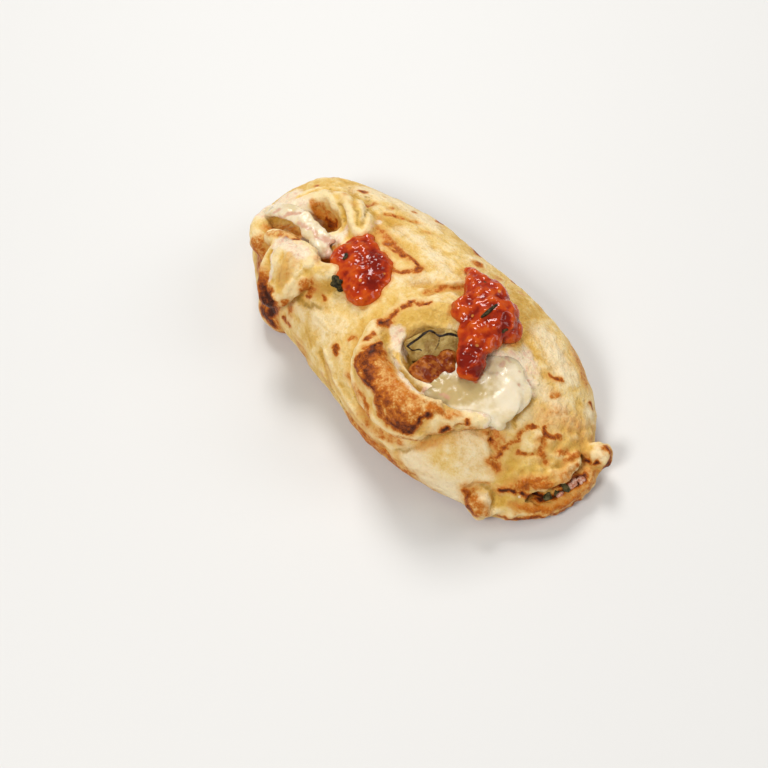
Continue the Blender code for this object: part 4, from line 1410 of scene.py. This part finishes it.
def make_stage():
    """A plain pale floor, three soft lamps and a pale sky."""
    bm = bmesh.new()
    bmesh.ops.create_grid(bm, x_segments=1, y_segments=1, size=3.0)
    mesh = bpy.data.meshes.new("floor")
    bm.to_mesh(mesh)
    bm.free()
    floor = link("floor", mesh)
    mesh.materials.append(Look("floor_white", Roughness=0.6, Base_Color=FLOOR_WHITE).material)

    world = bpy.data.worlds.new("sky")
    world.use_nodes = True
    background = world.node_tree.nodes["Background"].inputs
    background["Color"].default_value = SKY_WHITE
    background["Strength"].default_value = SKY_STRENGTH
    bpy.context.scene.world = world

    for name, place, size, power in LAMPS:
        lamp = bpy.data.lights.new(name, "AREA")
        lamp.size = size * MM
        lamp.energy = power
        light = link(name, lamp)
        light.location = Vector(place) * MM
        light.rotation_mode = "QUATERNION"
        light.rotation_quaternion = (-light.location).to_track_quat("-Z", "Y")


# ---- the whole


def dress(piece, slot, material, *nodes):
    """Gives a piece its material and its body, and hides the CAD nodes that it stands for."""
    piece.data.materials.clear()
    piece.data.materials.append(material)
    piece.data.shade_smooth()
    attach(piece, "root")
    if nodes:
        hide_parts(*nodes)


def main():
    noise.seed_set(NOISE_SEED)
    bpy.context.scene.view_settings.view_transform = "Standard"
    camera = make_camera()
    make_stage()

    dough = make_dough(camera)
    filling = make_filling()
    inside = [dough, filling]
    sausage = make_topping("sausage_browned", SAUSAGE, 2, uneven(SAUSAGE_LUMPS), inside)
    inside.append(sausage)
    aubergine = make_topping("aubergine_wilted", aubergine_shapes(), 5, uneven(AUBERGINE_LUMPS), inside)
    inside.append(aubergine)
    cheese_front = make_topping("cheese_pool", CHEESE_POOL, 16, pool_relief, inside)
    under = [dough, filling]
    cheese_rear = make_topping("cheese_strand", CHEESE_STRAND, 12, uneven(CHEESE_STRAND_LUMPS), under)
    inside.append(cheese_front)
    under.append(cheese_rear)
    sauce_front = make_topping("sauce_heap_front", SAUCE_FRONT, 9, uneven(SAUCE_LUMPS), inside, CHUNKS_FRONT)
    sauce_rear = make_topping("sauce_heap_rear", SAUCE_REAR, 9, uneven(SAUCE_LUMPS), under, CHUNKS_REAR)

    films = [(cheese_front, CHEESE_FRONT_FILM), (cheese_rear, CHEESE_REAR_FILM)]
    paint_dough(dough, camera, [sauce_front, sauce_rear], films)
    for cheese, sauce, reach in ((cheese_front, sauce_front, 1.6), (cheese_rear, sauce_rear, 9.0)):
        paint(cheese, "clear", camera, CHEESE_CLEAR_AT)
        paint(cheese, "pink", camera, CHEESE_PINK_AT)
        store(cheese, "stain", nearness(wavered(places(cheese)), sauce, reach))
    for sauce in (sauce_front, sauce_rear):
        # The sauce's look paints light on its lumps and shade between them from this.
        store(sauce, "bulge", bulge(sauce))
        store(sauce, "thin", nearness(places(sauce), dough, 2.6))
        paint(sauce, "deep", camera, DEEP_SAUCE_AT)
    paint(aubergine, "skin", camera, AUBERGINE_SKIN_AT, waver=0.25)
    herb_leaf = make_herb_leaf(camera, sauce_rear)
    herb_stem = make_herb_stem(camera, sauce_front)
    herb_bits = make_bits("herb_bits", camera, [sauce_front, sauce_rear], HERB_BITS)
    greens = make_bits("greens", camera, [dough, filling], GREENS)
    ham = make_bits("ham", camera, [dough, filling], HAM)

    dress(dough, "dough", dough_look(), "dough")
    dress(filling, "filling", plain_look("filling_mix", FILLING_BROWNS, size=5.0, depth=1.4), "filling")
    melted = cheese_look()
    dress(cheese_front, "cheese", melted, "cheese_front")
    dress(cheese_rear, "cheese", melted, "cheese_rear")
    tomato = sauce_look()
    dress(sauce_front, "sauce", tomato, "sauce_front")
    dress(sauce_rear, "sauce", tomato, "sauce_rear")
    dress(aubergine, "aubergine", aubergine_look(), "aubergine_slice")
    browned = plain_look("browned_sausage", SAUSAGE_BROWNS, size=4.0, roughness=0.2)
    dress(sausage, "sausage", browned, "sausage_piece")
    herb = plain_look("cooked_herb", HERB_GREENS, size=1.4)
    for piece in (herb_leaf, herb_stem, herb_bits):
        dress(piece, "sauce", herb)
    dress(greens, "filling", plain_look("cooked_greens", COOKED_GREENS))
    dress(ham, "filling", plain_look("pink_ham", HAM_PINKS, size=1.6))


main()
